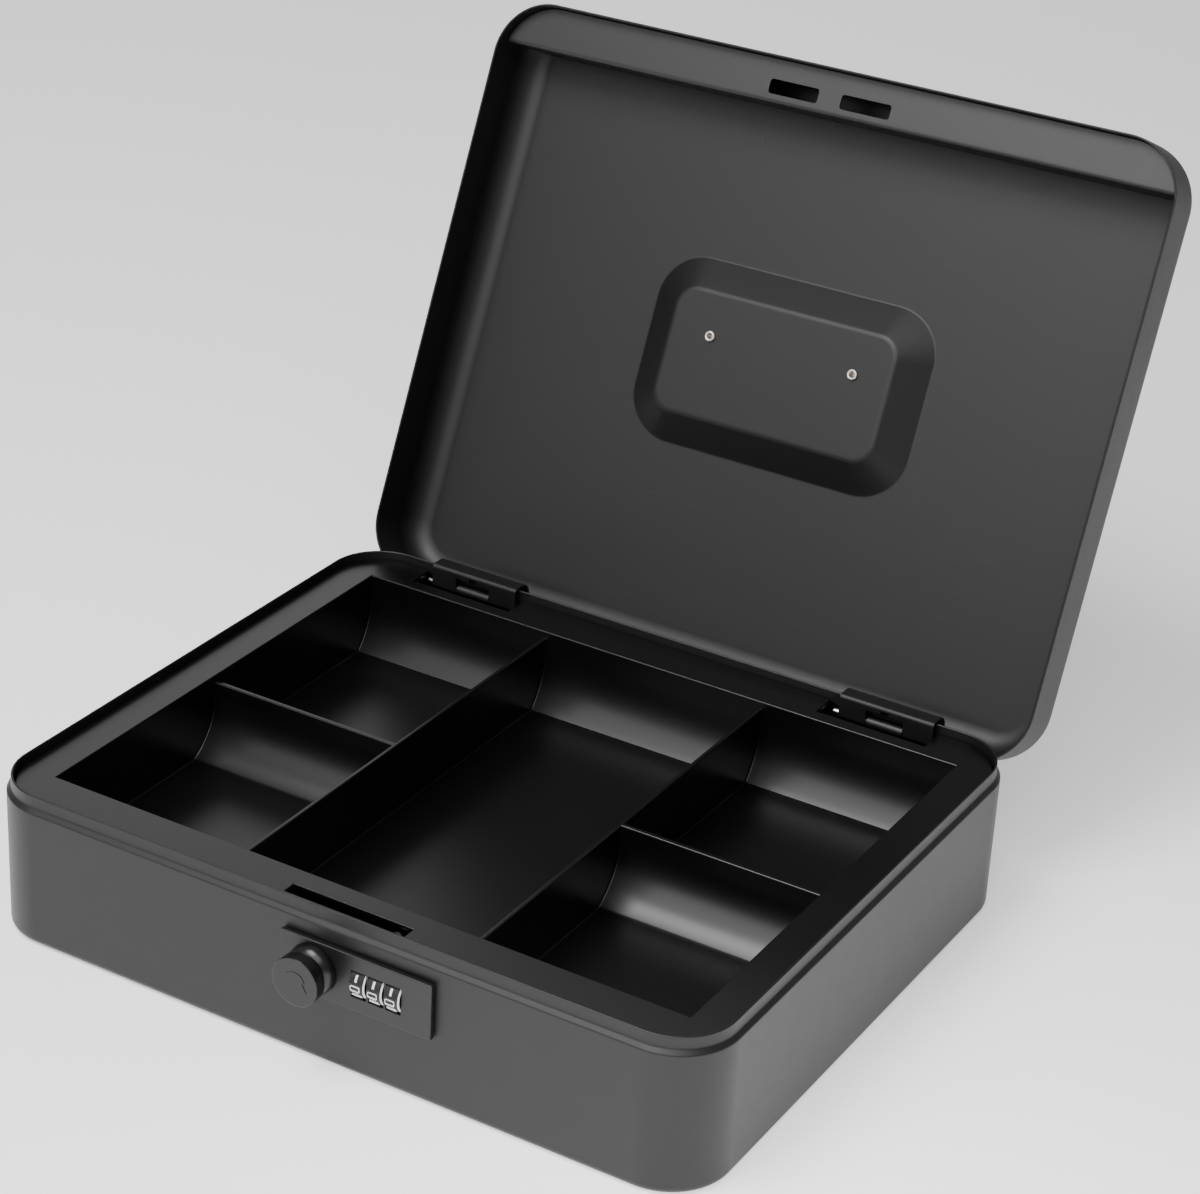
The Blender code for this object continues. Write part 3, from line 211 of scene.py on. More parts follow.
class Wire:
    """A socket that can be added, multiplied and compared: each step adds a Math node."""

    def __init__(self, tree, socket):
        self.tree = tree
        self.socket = socket

    def math(self, operation, *values, clamp=False):
        return self.tree.add("ShaderNodeMath", {"operation": operation, "use_clamp": clamp},
                             dict(enumerate((self, *values))))

    def __add__(self, other):
        return self.math("ADD", other)

    __radd__ = __add__

    def __sub__(self, other):
        return self.math("SUBTRACT", other)

    def __mul__(self, other):
        return self.math("MULTIPLY", other)

    def __truediv__(self, other):
        return self.math("DIVIDE", other)

    def __mod__(self, other):
        return self.math("MODULO", other)

    def __gt__(self, other):
        return self.math("GREATER_THAN", other)

    def __lt__(self, other):
        return self.math("LESS_THAN", other)

    def clamped(self):
        return self.math("ADD", 0, clamp=True)

    def floor(self):
        return self.math("FLOOR")

    def sin(self):
        return self.math("SINE")

    def cos(self):
        return self.math("COSINE")

    def sign(self):
        return self.math("SIGN")

    def abs(self):
        return self.math("ABSOLUTE")


class Tree:
    """A node tree that makes every node in one way: its type, its settings, then its sockets."""

    def __init__(self, node_tree):
        self.tree = node_tree

    def add(self, kind, settings=None, sockets=None, out=0):
        node = self.tree.nodes.new(kind)
        for key, value in (settings or {}).items():
            if key == "stops":
                ramp = node.color_ramp
                while len(ramp.elements) < len(value):
                    ramp.elements.new(1)
                for element, (position, level) in zip(ramp.elements, value):
                    element.position = position
                    element.color = (level, level, level, 1)
            else:
                setattr(node, key, value)
        for key, value in (sockets or {}).items():
            self.plug(node.inputs[key], value)
        if out is None:
            return node
        return Wire(self, node.outputs[out])

    def plug(self, socket, value):
        if isinstance(value, Wire):
            self.tree.links.new(value.socket, socket)
        elif isinstance(value, (list, tuple)) and value and isinstance(value[0], Wire):
            for wire in value:
                self.tree.links.new(wire.socket, socket)
        else:
            socket.default_value = value

    def mix(self, factor, a, b):
        first, second = (colour if isinstance(colour, Wire) else (*colour, 1) for colour in (a, b))
        return self.add("ShaderNodeMix", {"data_type": "RGBA", "clamp_factor": True},
                        {0: factor, 6: first, 7: second}, out=2)

    def split(self, vector):
        """The X, Y and Z of a vector."""
        node = self.add("ShaderNodeSeparateXYZ", {}, {"Vector": vector}, out=None)
        return [Wire(self, output) for output in node.outputs]

    def join(self, x, y, z):
        return self.add("ShaderNodeCombineXYZ", {}, {"X": x, "Y": y, "Z": z})


# Materials
def begin_material(name):
    material = bpy.data.materials.new(name)
    material.use_nodes = True
    material.node_tree.nodes.clear()
    tree = Tree(material.node_tree)
    place = tree.add("ShaderNodeTexCoord", out="Object")
    return material, tree, place


def end_material(tree, height, bump_strength, bump_distance, sockets):
    bump = tree.add("ShaderNodeBump", {},
                    {"Strength": bump_strength, "Distance": bump_distance, "Height": height})
    shader = tree.add("ShaderNodeBsdfPrincipled", {}, {**sockets, "Normal": bump})
    tree.add("ShaderNodeOutputMaterial", {}, {"Surface": shader}, out=None)


def noise(tree, place, scale, detail=2.0, roughness=0.5, stretch=None):
    """Noise in metres. The stretch is a turn and a scale for each axis, which draw it out into lines."""
    if stretch:
        turn, scales = stretch
        place = tree.add("ShaderNodeMapping", {}, {"Vector": place, "Rotation": turn, "Scale": scales})
    return tree.add("ShaderNodeTexNoise", {},
                    {"Vector": place, "Scale": scale, "Detail": detail, "Roughness": roughness}, out="Fac")


def powder_coat(name, dark, light, rough, grain_strength=0.16, index=1.45):
    """Satin black powder coat: fine even grain, slow changes of tone, a few specks of dust, hair scuffs."""
    material, tree, place = begin_material(name)
    cloud = noise(tree, place, scale=9.0, detail=3.0)
    mottle = noise(tree, place, scale=160.0)
    grain = noise(tree, place, scale=2300.0, roughness=0.6)
    peel = noise(tree, place, scale=520.0, detail=1.0)
    dust = tree.add("ShaderNodeTexVoronoi", {}, {"Vector": place, "Scale": 90.0}, out="Distance")
    dusty = noise(tree, place, scale=31.0, detail=1.0)
    specks = (dust < DUST_SIZE) * (dusty > DUST_SHARE)
    scuff = noise(tree, place, scale=26.0, detail=4.0, roughness=0.55,
                  stretch=((0.3, 0.5, 0.7), (1.0, 26.0, 26.0)))
    scuffs = ((scuff - 0.5).abs() < LINE_WIDTH) * (cloud > SCUFF_SHARE)
    colour = tree.mix((cloud * 0.7 + mottle * 0.3).clamped(), dark, light)
    colour = tree.mix(specks * 0.10, colour, (0.5, 0.5, 0.5))
    colour = tree.mix(scuffs * 0.02, colour, (0.30, 0.30, 0.31))
    roughness = rough + (cloud - 0.5) * 0.06 + (mottle - 0.5) * 0.05 - scuffs * 0.03 + specks * 0.1
    height = grain * 0.65 + peel * 0.35 + specks * 0.5
    end_material(tree, height, grain_strength, 0.06 * MM,
                 {"Base Color": colour, "Roughness": roughness, "IOR": index})
    return material


def moulded_plastic(name, dark, light, rough):
    """Black moulded plastic: a smooth skin with slow flow marks and a few faint rub marks."""
    material, tree, place = begin_material(name)
    flow = noise(tree, place, scale=14.0, stretch=((0, 0, 0.4), (1.0, 2.2, 1.0)))
    skin = noise(tree, place, scale=1500.0, detail=1.0)
    rub = noise(tree, place, scale=60.0, detail=4.0, roughness=0.6, stretch=((0, 0, 0.9), (1.0, 14.0, 1.0)))
    rubs = ((rub - 0.5).abs() < LINE_WIDTH) * (flow > RUB_SHARE)
    colour = tree.mix((flow * 0.6 + skin * 0.4).clamped(), dark, light)
    colour = tree.mix(rubs * 0.006, colour, (0.20, 0.20, 0.20))
    roughness = rough + (flow - 0.5) * 0.04 + (skin - 0.5) * 0.02 + rubs * 0.02
    end_material(tree, skin, 0.04, 0.008 * MM,
                 {"Base Color": colour, "Roughness": roughness, "IOR": PLASTIC_IOR})
    return material


def bright_metal(name, dark, light, rough, along):
    """Plated or polished metal with fine lines along one axis and a little dulling."""
    material, tree, place = begin_material(name)
    stretch = tuple(60.0 if axis != along else 3.0 for axis in "XYZ")
    lines = noise(tree, place, scale=60.0, detail=3.0, roughness=0.6, stretch=((0, 0, 0), stretch))
    dull = noise(tree, place, scale=300.0, detail=3.0)
    colour = tree.mix((lines * 0.6 + dull * 0.4).clamped(), dark, light)
    roughness = rough + (lines - 0.5) * 0.14 + (dull - 0.5) * 0.12
    end_material(tree, lines, 0.12, 0.03 * MM,
                 {"Base Color": colour, "Roughness": roughness, "Metallic": 1.0})
    return material


def print_paint(name, dark, light, rough):
    """Thick white marking paint with a slightly uneven face."""
    material, tree, place = begin_material(name)
    patch = noise(tree, place, scale=900.0, detail=3.0)
    fine = noise(tree, place, scale=5200.0)
    colour = tree.mix(patch, dark, light)
    roughness = rough + (fine - 0.5) * 0.2
    end_material(tree, fine, 0.15, 0.02 * MM, {"Base Color": colour, "Roughness": roughness})
    return material


BOX_COAT = powder_coat("box_powder_coat", (0.0036, 0.0034, 0.0038), (0.0060, 0.0057, 0.0062), rough=0.44)
LID_COAT = powder_coat("lid_powder_coat", (0.0030, 0.0032, 0.0032), (0.0052, 0.0054, 0.0053), rough=0.47,
                       index=1.41)
STRIKE_COAT = powder_coat("strike_coat", (0.0034, 0.0034, 0.0036), (0.0056, 0.0056, 0.0058), rough=0.42,
                          index=1.50)
LOCK_COAT = powder_coat("lock_coat", (0.0032, 0.0032, 0.0034), (0.0050, 0.0050, 0.0053), rough=0.38,
                        grain_strength=0.10)
KNOB_COAT = powder_coat("knob_coat", (0.0026, 0.0026, 0.0027), (0.0044, 0.0044, 0.0046), rough=0.29,
                        grain_strength=0.10)
TRAY_BLACK = moulded_plastic("tray_plastic", (0.0010, 0.0010, 0.0011), (0.0018, 0.0018, 0.0019), rough=0.30)
WHEEL_BLACK = moulded_plastic("wheel_plastic", (0.0025, 0.0025, 0.0026), (0.0050, 0.0050, 0.0050), rough=0.50)
ZINC = bright_metal("dark_plating", (0.10, 0.10, 0.105), (0.19, 0.19, 0.195), rough=0.42, along="X")
STEEL = bright_metal("bright_steel", (0.50, 0.49, 0.47), (0.72, 0.71, 0.69), rough=0.26, along="X")
RIVET_STEEL = bright_metal("rivet_steel", (0.50, 0.47, 0.43), (0.74, 0.71, 0.67), rough=0.42, along="Y")
WHITE = print_paint("white_marking", (0.72, 0.73, 0.74), (0.86, 0.87, 0.87), rough=0.42)


# Mesh helpers
def object_from(name, mesh, material=None):
    obj = bpy.data.objects.new(name, mesh)
    bpy.context.scene.collection.objects.link(obj)
    if material:
        mesh.materials.clear()
        mesh.materials.append(material)
    return obj


def mesh_from(name, bm, outward=True):
    if outward:
        bmesh.ops.recalc_face_normals(bm, faces=bm.faces)
    mesh = bpy.data.meshes.new(name)
    bm.to_mesh(mesh)
    bm.free()
    return mesh


def faced_out(obj):
    """The object with the front of every face on its outside."""
    bm = bmesh.new()
    bm.from_mesh(obj.data)
    bmesh.ops.recalc_face_normals(bm, faces=bm.faces)
    bm.to_mesh(obj.data)
    bm.free()
    return obj


def baked(obj):
    """The object with its modifiers worked in, as a plain mesh object in the same place."""
    bpy.context.view_layer.update()
    evaluated = obj.evaluated_get(bpy.context.evaluated_depsgraph_get())
    mesh = bpy.data.meshes.new_from_object(evaluated)
    mesh.transform(obj.matrix_world)
    name = obj.name
    materials = [slot.material for slot in obj.material_slots]
    bpy.data.objects.remove(obj, do_unlink=True)
    mesh.name = name
    result = object_from(name, mesh)
    if not mesh.materials:
        for material in materials:
            mesh.materials.append(material)
    return result


def smooth(obj, degrees=32):
    obj.data.shade_smooth()
    obj.data.set_sharp_from_angle(angle=math.radians(degrees))
    return obj


def weighted(obj, degrees):
    """Smooth shading that leaves flat faces flat, baked into the mesh."""
    smooth(obj, degrees)
    shading = obj.modifiers.new("flat_faces", "WEIGHTED_NORMAL")
    shading.keep_sharp = True
    shading.weight = 80
    return baked(obj)


def rounded(obj, width, segments=3, degrees=30):
    """Soft edges on every corner sharper than the given angle, baked into the mesh."""
    edges = obj.modifiers.new("soft_edges", "BEVEL")
    edges.width = width
    edges.segments = segments
    edges.limit_method = "ANGLE"
    edges.angle_limit = math.radians(degrees)
    edges.use_clamp_overlap = True
    return weighted(baked(obj), MOULDING_SHARP)


def combined(obj, tool, operation):
    """The object with a closed tool taken out of it, or welded to it."""
    step = obj.modifiers.new("combined", "BOOLEAN")
    step.operation = operation
    step.solver = "EXACT"
    step.object = tool
    result = baked(obj)
    bpy.data.objects.remove(tool, do_unlink=True)
    return result


def with_cut(obj, tool):
    return combined(obj, tool, "DIFFERENCE")


def block(name, low, high):
    bm = bmesh.new()
    bmesh.ops.create_cube(bm, size=1)
    size = Vector(high) - Vector(low)
    centre = (Vector(high) + Vector(low)) / 2
    place = Matrix.Translation(centre) @ Matrix.Diagonal((*size, 1))
    bmesh.ops.transform(bm, matrix=place, verts=bm.verts)
    return object_from(name, mesh_from(name, bm))


def prism(name, outline, low, high, axis):
    """A closed outline carried along X, Y or Z. The outline is in the other two axes, in their order."""
    bm = bmesh.new()

    def at(point, level):
        values = list(point)
        values.insert("XYZ".index(axis), level)
        return Vector(values)

    first = [bm.verts.new(at(p, low)) for p in outline]
    last = [bm.verts.new(at(p, high)) for p in outline]
    bm.faces.new(first)
    bm.faces.new(last)
    for i in range(len(outline)):
        j = (i + 1) % len(outline)
        bm.faces.new((first[i], first[j], last[j], last[i]))
    return object_from(name, mesh_from(name, bm))


def circle(centre_u, centre_v, radius, sides):
    return [(centre_u + radius * math.cos(math.tau * i / sides),
             centre_v + radius * math.sin(math.tau * i / sides)) for i in range(sides)]


def lathe(name, profile, steps):
    """A turned closed piece about Z. The profile is (radius, height) pairs, with radius 0 at both ends."""
    bm = bmesh.new()
    rings = []
    for radius, height in profile:
        ring = circle(0, 0, radius, steps) if radius else [(0, 0)]
        rings.append([bm.verts.new((*point, height)) for point in ring])
    for low, high in zip(rings, rings[1:]):
        for i in range(steps):
            j = (i + 1) % steps
            if len(low) == 1:
                bm.faces.new((low[0], high[i], high[j]))
            elif len(high) == 1:
                bm.faces.new((low[i], low[j], high[0]))
            else:
                bm.faces.new((low[i], low[j], high[j], high[i]))
    return object_from(name, mesh_from(name, bm))


def placed(obj, matrix):
    obj.data.transform(matrix)
    return obj


def polar(centre_u, centre_v, radius, degrees):
    angle = math.radians(degrees)
    return centre_u + radius * math.cos(angle), centre_v + radius * math.sin(angle)


def arc(centre_u, centre_v, radius, start, end, steps):
    return [polar(centre_u, centre_v, radius, start + (end - start) * i / steps) for i in range(steps + 1)]


def wear(obj, material):
    obj.data.materials.clear()
    obj.data.materials.append(material)
    return obj


def put(obj, body, nodes=()):
    """Says which body a piece rides on and the nodes that it stands for."""
    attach(obj, body)
    if nodes:
        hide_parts(*nodes)
    return obj


def plain_copy(node, material):
    """A CAD node's shape with its flat faces made whole."""
    bm = bmesh.new()
    bm.from_mesh(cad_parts[node].data)
    bmesh.ops.remove_doubles(bm, verts=bm.verts, dist=SAME_PLACE)
    bmesh.ops.dissolve_limit(bm, angle_limit=math.radians(FACET_ANGLE), verts=bm.verts, edges=bm.edges)
    name = node + "_dressed"
    return object_from(name, mesh_from(name, bm, outward=False), material)


def from_node(node, material, edge, body="base"):
    """A piece with a CAD node's shape: its flat faces whole, its edges softened, its round faces smooth."""
    obj = plain_copy(node, material)
    if edge:
        obj = rounded(obj, edge, segments=2)
    else:
        smooth(obj)
    return put(obj, body, (node,))


# Geometry trees
def begin_group(name, inputs, output):
    """A geometry node group with its sockets, and a function that gives the wire of an input."""
    group = bpy.data.node_groups.new(name, "GeometryNodeTree")
    for label, kind in inputs:
        group.interface.new_socket(label, in_out="INPUT", socket_type="NodeSocket" + kind)
    group.interface.new_socket(output, in_out="OUTPUT", socket_type="NodeSocketGeometry")
    tree = Tree(group)
    node = tree.add("NodeGroupInput", out=None)
    return tree, lambda label: Wire(tree, node.outputs[label])


def end_group(tree, geometry, material, output):
    whole = tree.add("GeometryNodeRealizeInstances", {}, {"Geometry": geometry})
    finished = tree.add("GeometryNodeSetMaterial", {}, {"Geometry": whole, "Material": material})
    tree.add("NodeGroupOutput", {}, {output: finished}, out=None)
    return tree.tree


def moved_points(tree, geometry, place):
    return tree.add("GeometryNodeSetPosition", {}, {"Geometry": geometry, "Position": place})


def set_inputs(modifier, values):
    """Gives a geometry modifier its inputs, by each socket's identifier."""
    for item in modifier.node_group.interface.items_tree:
        if item.in_out == "INPUT" and item.name in values:
            modifier[item.identifier] = values[item.name]


def pressing_tree():
    """Rings of a rounded rectangle, one for each point of the section, with a face on the first and last.

    The section's points hold each ring's half width, half depth and height, and its radius attribute holds
    the corner radius.
    """
    tree, given = begin_group("pressed_shell", (("Section", "Geometry"), ("Corner Steps", "Int"),
                                                ("Coat", "Material")), "Shell")
    section = given("Section")
    steps = given("Corner Steps")
    per_corner = steps + 1
    around = per_corner * 4
    points = tree.add("GeometryNodeAttributeDomainSize", {"component": "MESH"}, {"Geometry": section},
                      out="Point Count")
    index = tree.add("GeometryNodeInputIndex")

    def ring_place(along, row):
        """The place on ring number row, for the point number along, counted round the box."""
        corner = (along / per_corner).floor() % 4
        share = (along % per_corner) / steps
        angle = (corner + share) * (math.pi / 2)
        middle = corner * (math.pi / 2) + math.pi / 4
        sizes = tree.add("GeometryNodeSampleIndex", {"data_type": "FLOAT_VECTOR", "domain": "POINT"},
                         {"Geometry": section, "Value": tree.add("GeometryNodeInputPosition"), "Index": row})
        stored = tree.add("GeometryNodeInputNamedAttribute", {"data_type": "FLOAT"}, {"Name": "radius"})
        radius = tree.add("GeometryNodeSampleIndex", {"data_type": "FLOAT", "domain": "POINT"},
                          {"Geometry": section, "Index": row, "Value": stored})
        half_x, half_y, height = tree.split(sizes)
        x = middle.cos().sign() * (half_x - radius) + angle.cos() * radius
        y = middle.sin().sign() * (half_y - radius) + angle.sin() * radius
        return tree.join(x, y, height)

    grid = tree.add("GeometryNodeMeshGrid", {}, {"Size X": 1.0, "Size Y": 1.0, "Vertices X": around + 1,
                                                 "Vertices Y": points}, out="Mesh")
    parts = [moved_points(tree, grid, ring_place((index / points).floor() % around, index % points))]
    for row in (0, points - 1):
        disc = tree.add("GeometryNodeMeshCircle", {"fill_type": "NGON"},
                        {"Vertices": around, "Radius": 1.0})
        parts.append(moved_points(tree, disc, ring_place(index, row)))
    body = tree.add("GeometryNodeJoinGeometry", {}, {"Geometry": parts})
    body = tree.add("GeometryNodeMergeByDistance", {}, {"Geometry": body, "Distance": RING_MERGE})
    return end_group(tree, body, given("Coat"), "Shell")


PRESSING = pressing_tree()


# Pressed shells
def pressed_shell(name, rings, coat):
    """A closed sheet-metal body from (half width, half depth, corner radius, height) rings."""
    mesh = bpy.data.meshes.new(name)
    points = [(half_x, half_y, height) for half_x, half_y, radius, height in rings]
    mesh.from_pydata(points, [(i, i + 1) for i in range(len(rings) - 1)], [])
    stored = mesh.attributes.new("radius", "FLOAT", "POINT")
    stored.data.foreach_set("value", [radius for half_x, half_y, radius, height in rings])
    obj = object_from(name, mesh)
    modifier = obj.modifiers.new("pressing", "NODES")
    modifier.node_group = PRESSING
    set_inputs(modifier, {"Corner Steps": CORNER_STEPS, "Coat": coat})
    return faced_out(baked(obj))


def box_ring(inset, z):
    return HALF_X - inset, HALF_Y - inset, CORNER_RADIUS - inset, z


def softened(points, steps=3):
    """The same line of (inset, height, ease) points, with each eased corner turned into a short curve."""
    result = []
    for i, (u, v, ease) in enumerate(points):
        if not ease:
            result.append((u, v))
            continue
        here = Vector((u, v))
        before = Vector(points[i - 1][:2])
        after = Vector(points[i + 1][:2])
        start = here + (before - here).normalized() * ease
        end = here + (after - here).normalized() * ease
        for k in range(steps + 1):
            t = k / steps
            result.append(tuple(start * (1 - t) ** 2 + here * 2 * t * (1 - t) + end * t ** 2))
    return result


def quarter(radius, steps):
    """A quarter round from a flat face into a wall, as (inset, height) pairs."""
    return [(radius * (1 - math.sin(math.radians(90 * i / steps))),
             radius * (1 - math.cos(math.radians(90 * i / steps)))) for i in range(steps + 1)]


def make_base():
    slant = math.atan2(JOGGLE_RUN, JOGGLE_RISE)
    drop = SHEET * math.tan(slant / 2)
    soft = BEND_SOFTNESS
    outside = [(u, v, 0) for u, v in quarter(FLOOR_RADIUS, steps=8)]
    outside += [(0, WALL_TOP, soft), (JOGGLE_RUN, WALL_TOP + JOGGLE_RISE, soft)]
    rim = arc(0, RIM_TOP - SHEET / 2, SHEET / 2, 0, 180, steps=8)
    edge = [(JOGGLE_RUN + SHEET / 2 - u, v, 0) for u, v in rim]
    inside = [(JOGGLE_RUN + SHEET, WALL_TOP + JOGGLE_RISE - drop, soft), (SHEET, WALL_TOP - drop, soft)]
    floor = [(SHEET + u, SHEET + v, 0) for u, v in reversed(quarter(FLOOR_RADIUS - SHEET, steps=5))]
    section = softened(outside + edge + inside + floor)
    shell = pressed_shell("base_pressing", [box_ring(u, v) for u, v in section], BOX_COAT)
    plate_low, plate_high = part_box("lock_plate")
    opening = block("lock_opening",
                    (plate_low[0] + LOCK_OPENING_INSET, -HALF_Y - 2 * CUT_PAST, LOCK_Z - LOCK_OPENING_HALF),
                    (plate_high[0] - LOCK_OPENING_INSET, -HALF_Y + 2 * CUT_PAST, LOCK_Z + LOCK_OPENING_HALF))
    shell = with_cut(shell, opening)
    return put(wear(weighted(shell, PRESSING_SHARP), BOX_COAT), "base", ("base_shell",))


def recess_ring(inset, drop, z):
    radius = RECESS_RADIUS - inset * RECESS_RADIUS / (RECESS_RUN + RECESS_RADIUS / 2)
    return RECESS_HALF[0] - inset, RECESS_HALF[1] - inset, radius, z - drop


OPENING = Matrix.Translation(PIVOT) @ Matrix.Rotation(-OPEN_ANGLE, 4, "X") @ Matrix.Translation(-PIVOT)


def make_lid():
    slope = softened([(-2 * RECESS_CREASE, 0, 0), (0, 0, RECESS_CREASE),
                      (RECESS_RUN, RECESS_DEPTH, RECESS_EASE),
                      (RECESS_RUN + 2 * RECESS_EASE, RECESS_DEPTH, 0)], steps=6)
    rings = [recess_ring(u, v, LID_TOP) for u, v in reversed(slope)]
    rings += [box_ring(LID_INSET + u, LID_TOP - v) for u, v in quarter(LID_EDGE_RADIUS, steps=14)]
    rings += [box_ring(LID_INSET + SHEET / 2 - u, v)
              for u, v in arc(0, LID_EDGE + SHEET / 2, SHEET / 2, 0, -180, steps=6)]
    rings += [box_ring(LID_INSET + SHEET + u, LID_TOP - SHEET - v)
              for u, v in reversed(quarter(LID_EDGE_RADIUS - SHEET, steps=12))]
    rings += [recess_ring(u, v, LID_TOP - SHEET) for u, v in slope]
    shell = pressed_shell("lid_pressing", rings, LID_COAT)
    trim = block("rear_trim", (-REAR_TRIM_HALF, HALF_Y - REAR_TRIM_DEPTH, LID_EDGE - 5 * CUT_PAST),
                 (REAR_TRIM_HALF, HALF_Y + 5 * CUT_PAST, REAR_TRIM_TOP))
    shell = with_cut(shell, trim)
    for side in (-1, 1):
        outline = circle(HANDLE_X + side * RIVET_X, HANDLE_PIVOT_Y, RIVET_HOLE_RADIUS, RIVET_HOLE_SIDES)
        hole = prism("rivet_hole", outline, LID_TOP - RECESS_DEPTH - 4 * CUT_PAST, LID_TOP, "Z")
        shell = with_cut(shell, hole)
    placed(shell, OPENING)
    return put(wear(weighted(shell, PRESSING_SHARP), LID_COAT), "lid", ("lid_shell",))


# Coin tray
def bevelled(obj, wanted, width, segments=4):
    """The object with an even round on each edge that the test picks, by the places of its two ends."""
    bm = bmesh.new()
    bm.from_mesh(obj.data)
    bmesh.ops.remove_doubles(bm, verts=bm.verts, dist=SLIVER)
    bmesh.ops.dissolve_limit(bm, angle_limit=math.radians(FLAT_ANGLE), verts=bm.verts, edges=bm.edges)
    sharp = math.radians(CORNER_ANGLE)
    edges = [edge for edge in bm.edges if edge.is_manifold and edge.calc_face_angle(0) > sharp
             and wanted(edge.verts[0].co, edge.verts[1].co)]
    bmesh.ops.bevel(bm, geom=edges, offset=width, segments=segments, profile=0.5, affect="EDGES",
                    clamp_overlap=False)
    bm.to_mesh(obj.data)
    bm.free()
    return obj


def level(a, b, height):
    return abs(a.z - height) < NEAR and abs(b.z - height) < NEAR


def on_divider(a, b):
    """Whether an edge is one of a divider's own, and not on the tray's outer walls."""
    middle = (a + b) / 2
    clear = 10 * NEAR
    return abs(middle.x) < TRAY_HALF_OPENING - clear and TRAY_FRONT + clear < middle.y < TRAY_REAR - clear


def tray_pocket(name, left, right, front, rear, scoop):
    """The space of one bay, with the hollow scoop at its rear."""
    depth = SCOOP_TOP - TRAY_FLOOR
    radius = (depth * depth + scoop * scoop) / (2 * scoop)
    sweep = math.degrees(math.asin(depth / radius))
    curve = arc(rear - radius, SCOOP_TOP, radius, -sweep, 0, SCOOP_STEPS)
    top = TRAY_TOP + 5 * CUT_PAST
    outline = [(front, TRAY_FLOOR)] + curve + [(rear, top), (front, top)]
    pocket = prism(name, outline, left, right, "X")
    return bevelled(pocket, lambda a, b: max(a.z, b.z) < SCOOP_TOP + NEAR, POCKET_FILLET)


def tray_flange():
    half_x = HALF_X - TRAY_EDGE_INSET
    half_y = HALF_Y - TRAY_EDGE_INSET
    radius = CORNER_RADIUS - TRAY_EDGE_INSET
    outline = []
    for start, side_x, side_y in ((0, 1, 1), (90, -1, 1), (180, -1, -1), (270, 1, -1)):
        outline += arc(side_x * (half_x - radius), side_y * (half_y - radius), radius, start, start + 90,
                       CORNER_STEPS)
    return prism("tray_moulding", outline, TRAY_TOP - TRAY_FLANGE, TRAY_TOP, "Z")


def make_tray():
    basin = block("tray_basin",
                  (-TRAY_HALF_OPENING - TRAY_WALL, TRAY_FRONT - TRAY_WALL, TRAY_FLOOR - TRAY_WALL),
                  (TRAY_HALF_OPENING + TRAY_WALL, TRAY_REAR + TRAY_WALL, TRAY_TOP - TRAY_FLANGE / 2))
    tray = combined(tray_flange(), basin, "UNION")
    lip = TRAY_TOP - DIVIDER_DROP
    above = TRAY_TOP + 5 * CUT_PAST
    below = TRAY_TOP - 5 * CUT_PAST
    tray = with_cut(tray, block("tray_mouth", (-TRAY_HALF_OPENING, TRAY_FRONT, lip),
                                (TRAY_HALF_OPENING, TRAY_REAR, above)))
    edge = DIVIDER_X + DIVIDER / 2
    middle = DIVIDER_X - DIVIDER / 2
    bays = [("middle_bay", -middle, middle, TRAY_FRONT, TRAY_REAR, SCOOP_RUN)]
    for side, left, right in (("left", -TRAY_HALF_OPENING, -edge), ("right", edge, TRAY_HALF_OPENING)):
        bays.append((f"front_bay_{side}", left, right, TRAY_FRONT, DIVIDER_Y - DIVIDER / 2, SCOOP_RUN_FRONT))
        bays.append((f"rear_bay_{side}", left, right, DIVIDER_Y + DIVIDER / 2, TRAY_REAR, SCOOP_RUN))
    for bay in bays:
        tray = with_cut(tray, tray_pocket(*bay))
    left, right, width, slot_y = CLAW_SLOT
    tray = with_cut(tray, block("claw_slot", (left, slot_y - width / 2, below),
                                (right, slot_y + width / 2, above)))
    centre, width, front = HINGE_NOTCH
    for side in (-1, 1):
        tray = with_cut(tray, block("hinge_notch", (side * centre - width / 2, front, below),
                                    (side * centre + width / 2, HALF_Y, above)))
    tray = bevelled(tray, lambda a, b: level(a, b, lip) and on_divider(a, b), TRAY_EDGE)
    tray = bevelled(tray, lambda a, b: level(a, b, TRAY_TOP), TRAY_EDGE)
    return put(wear(weighted(tray, MOULDING_SHARP), TRAY_BLACK), "tray", ("coin_tray",))


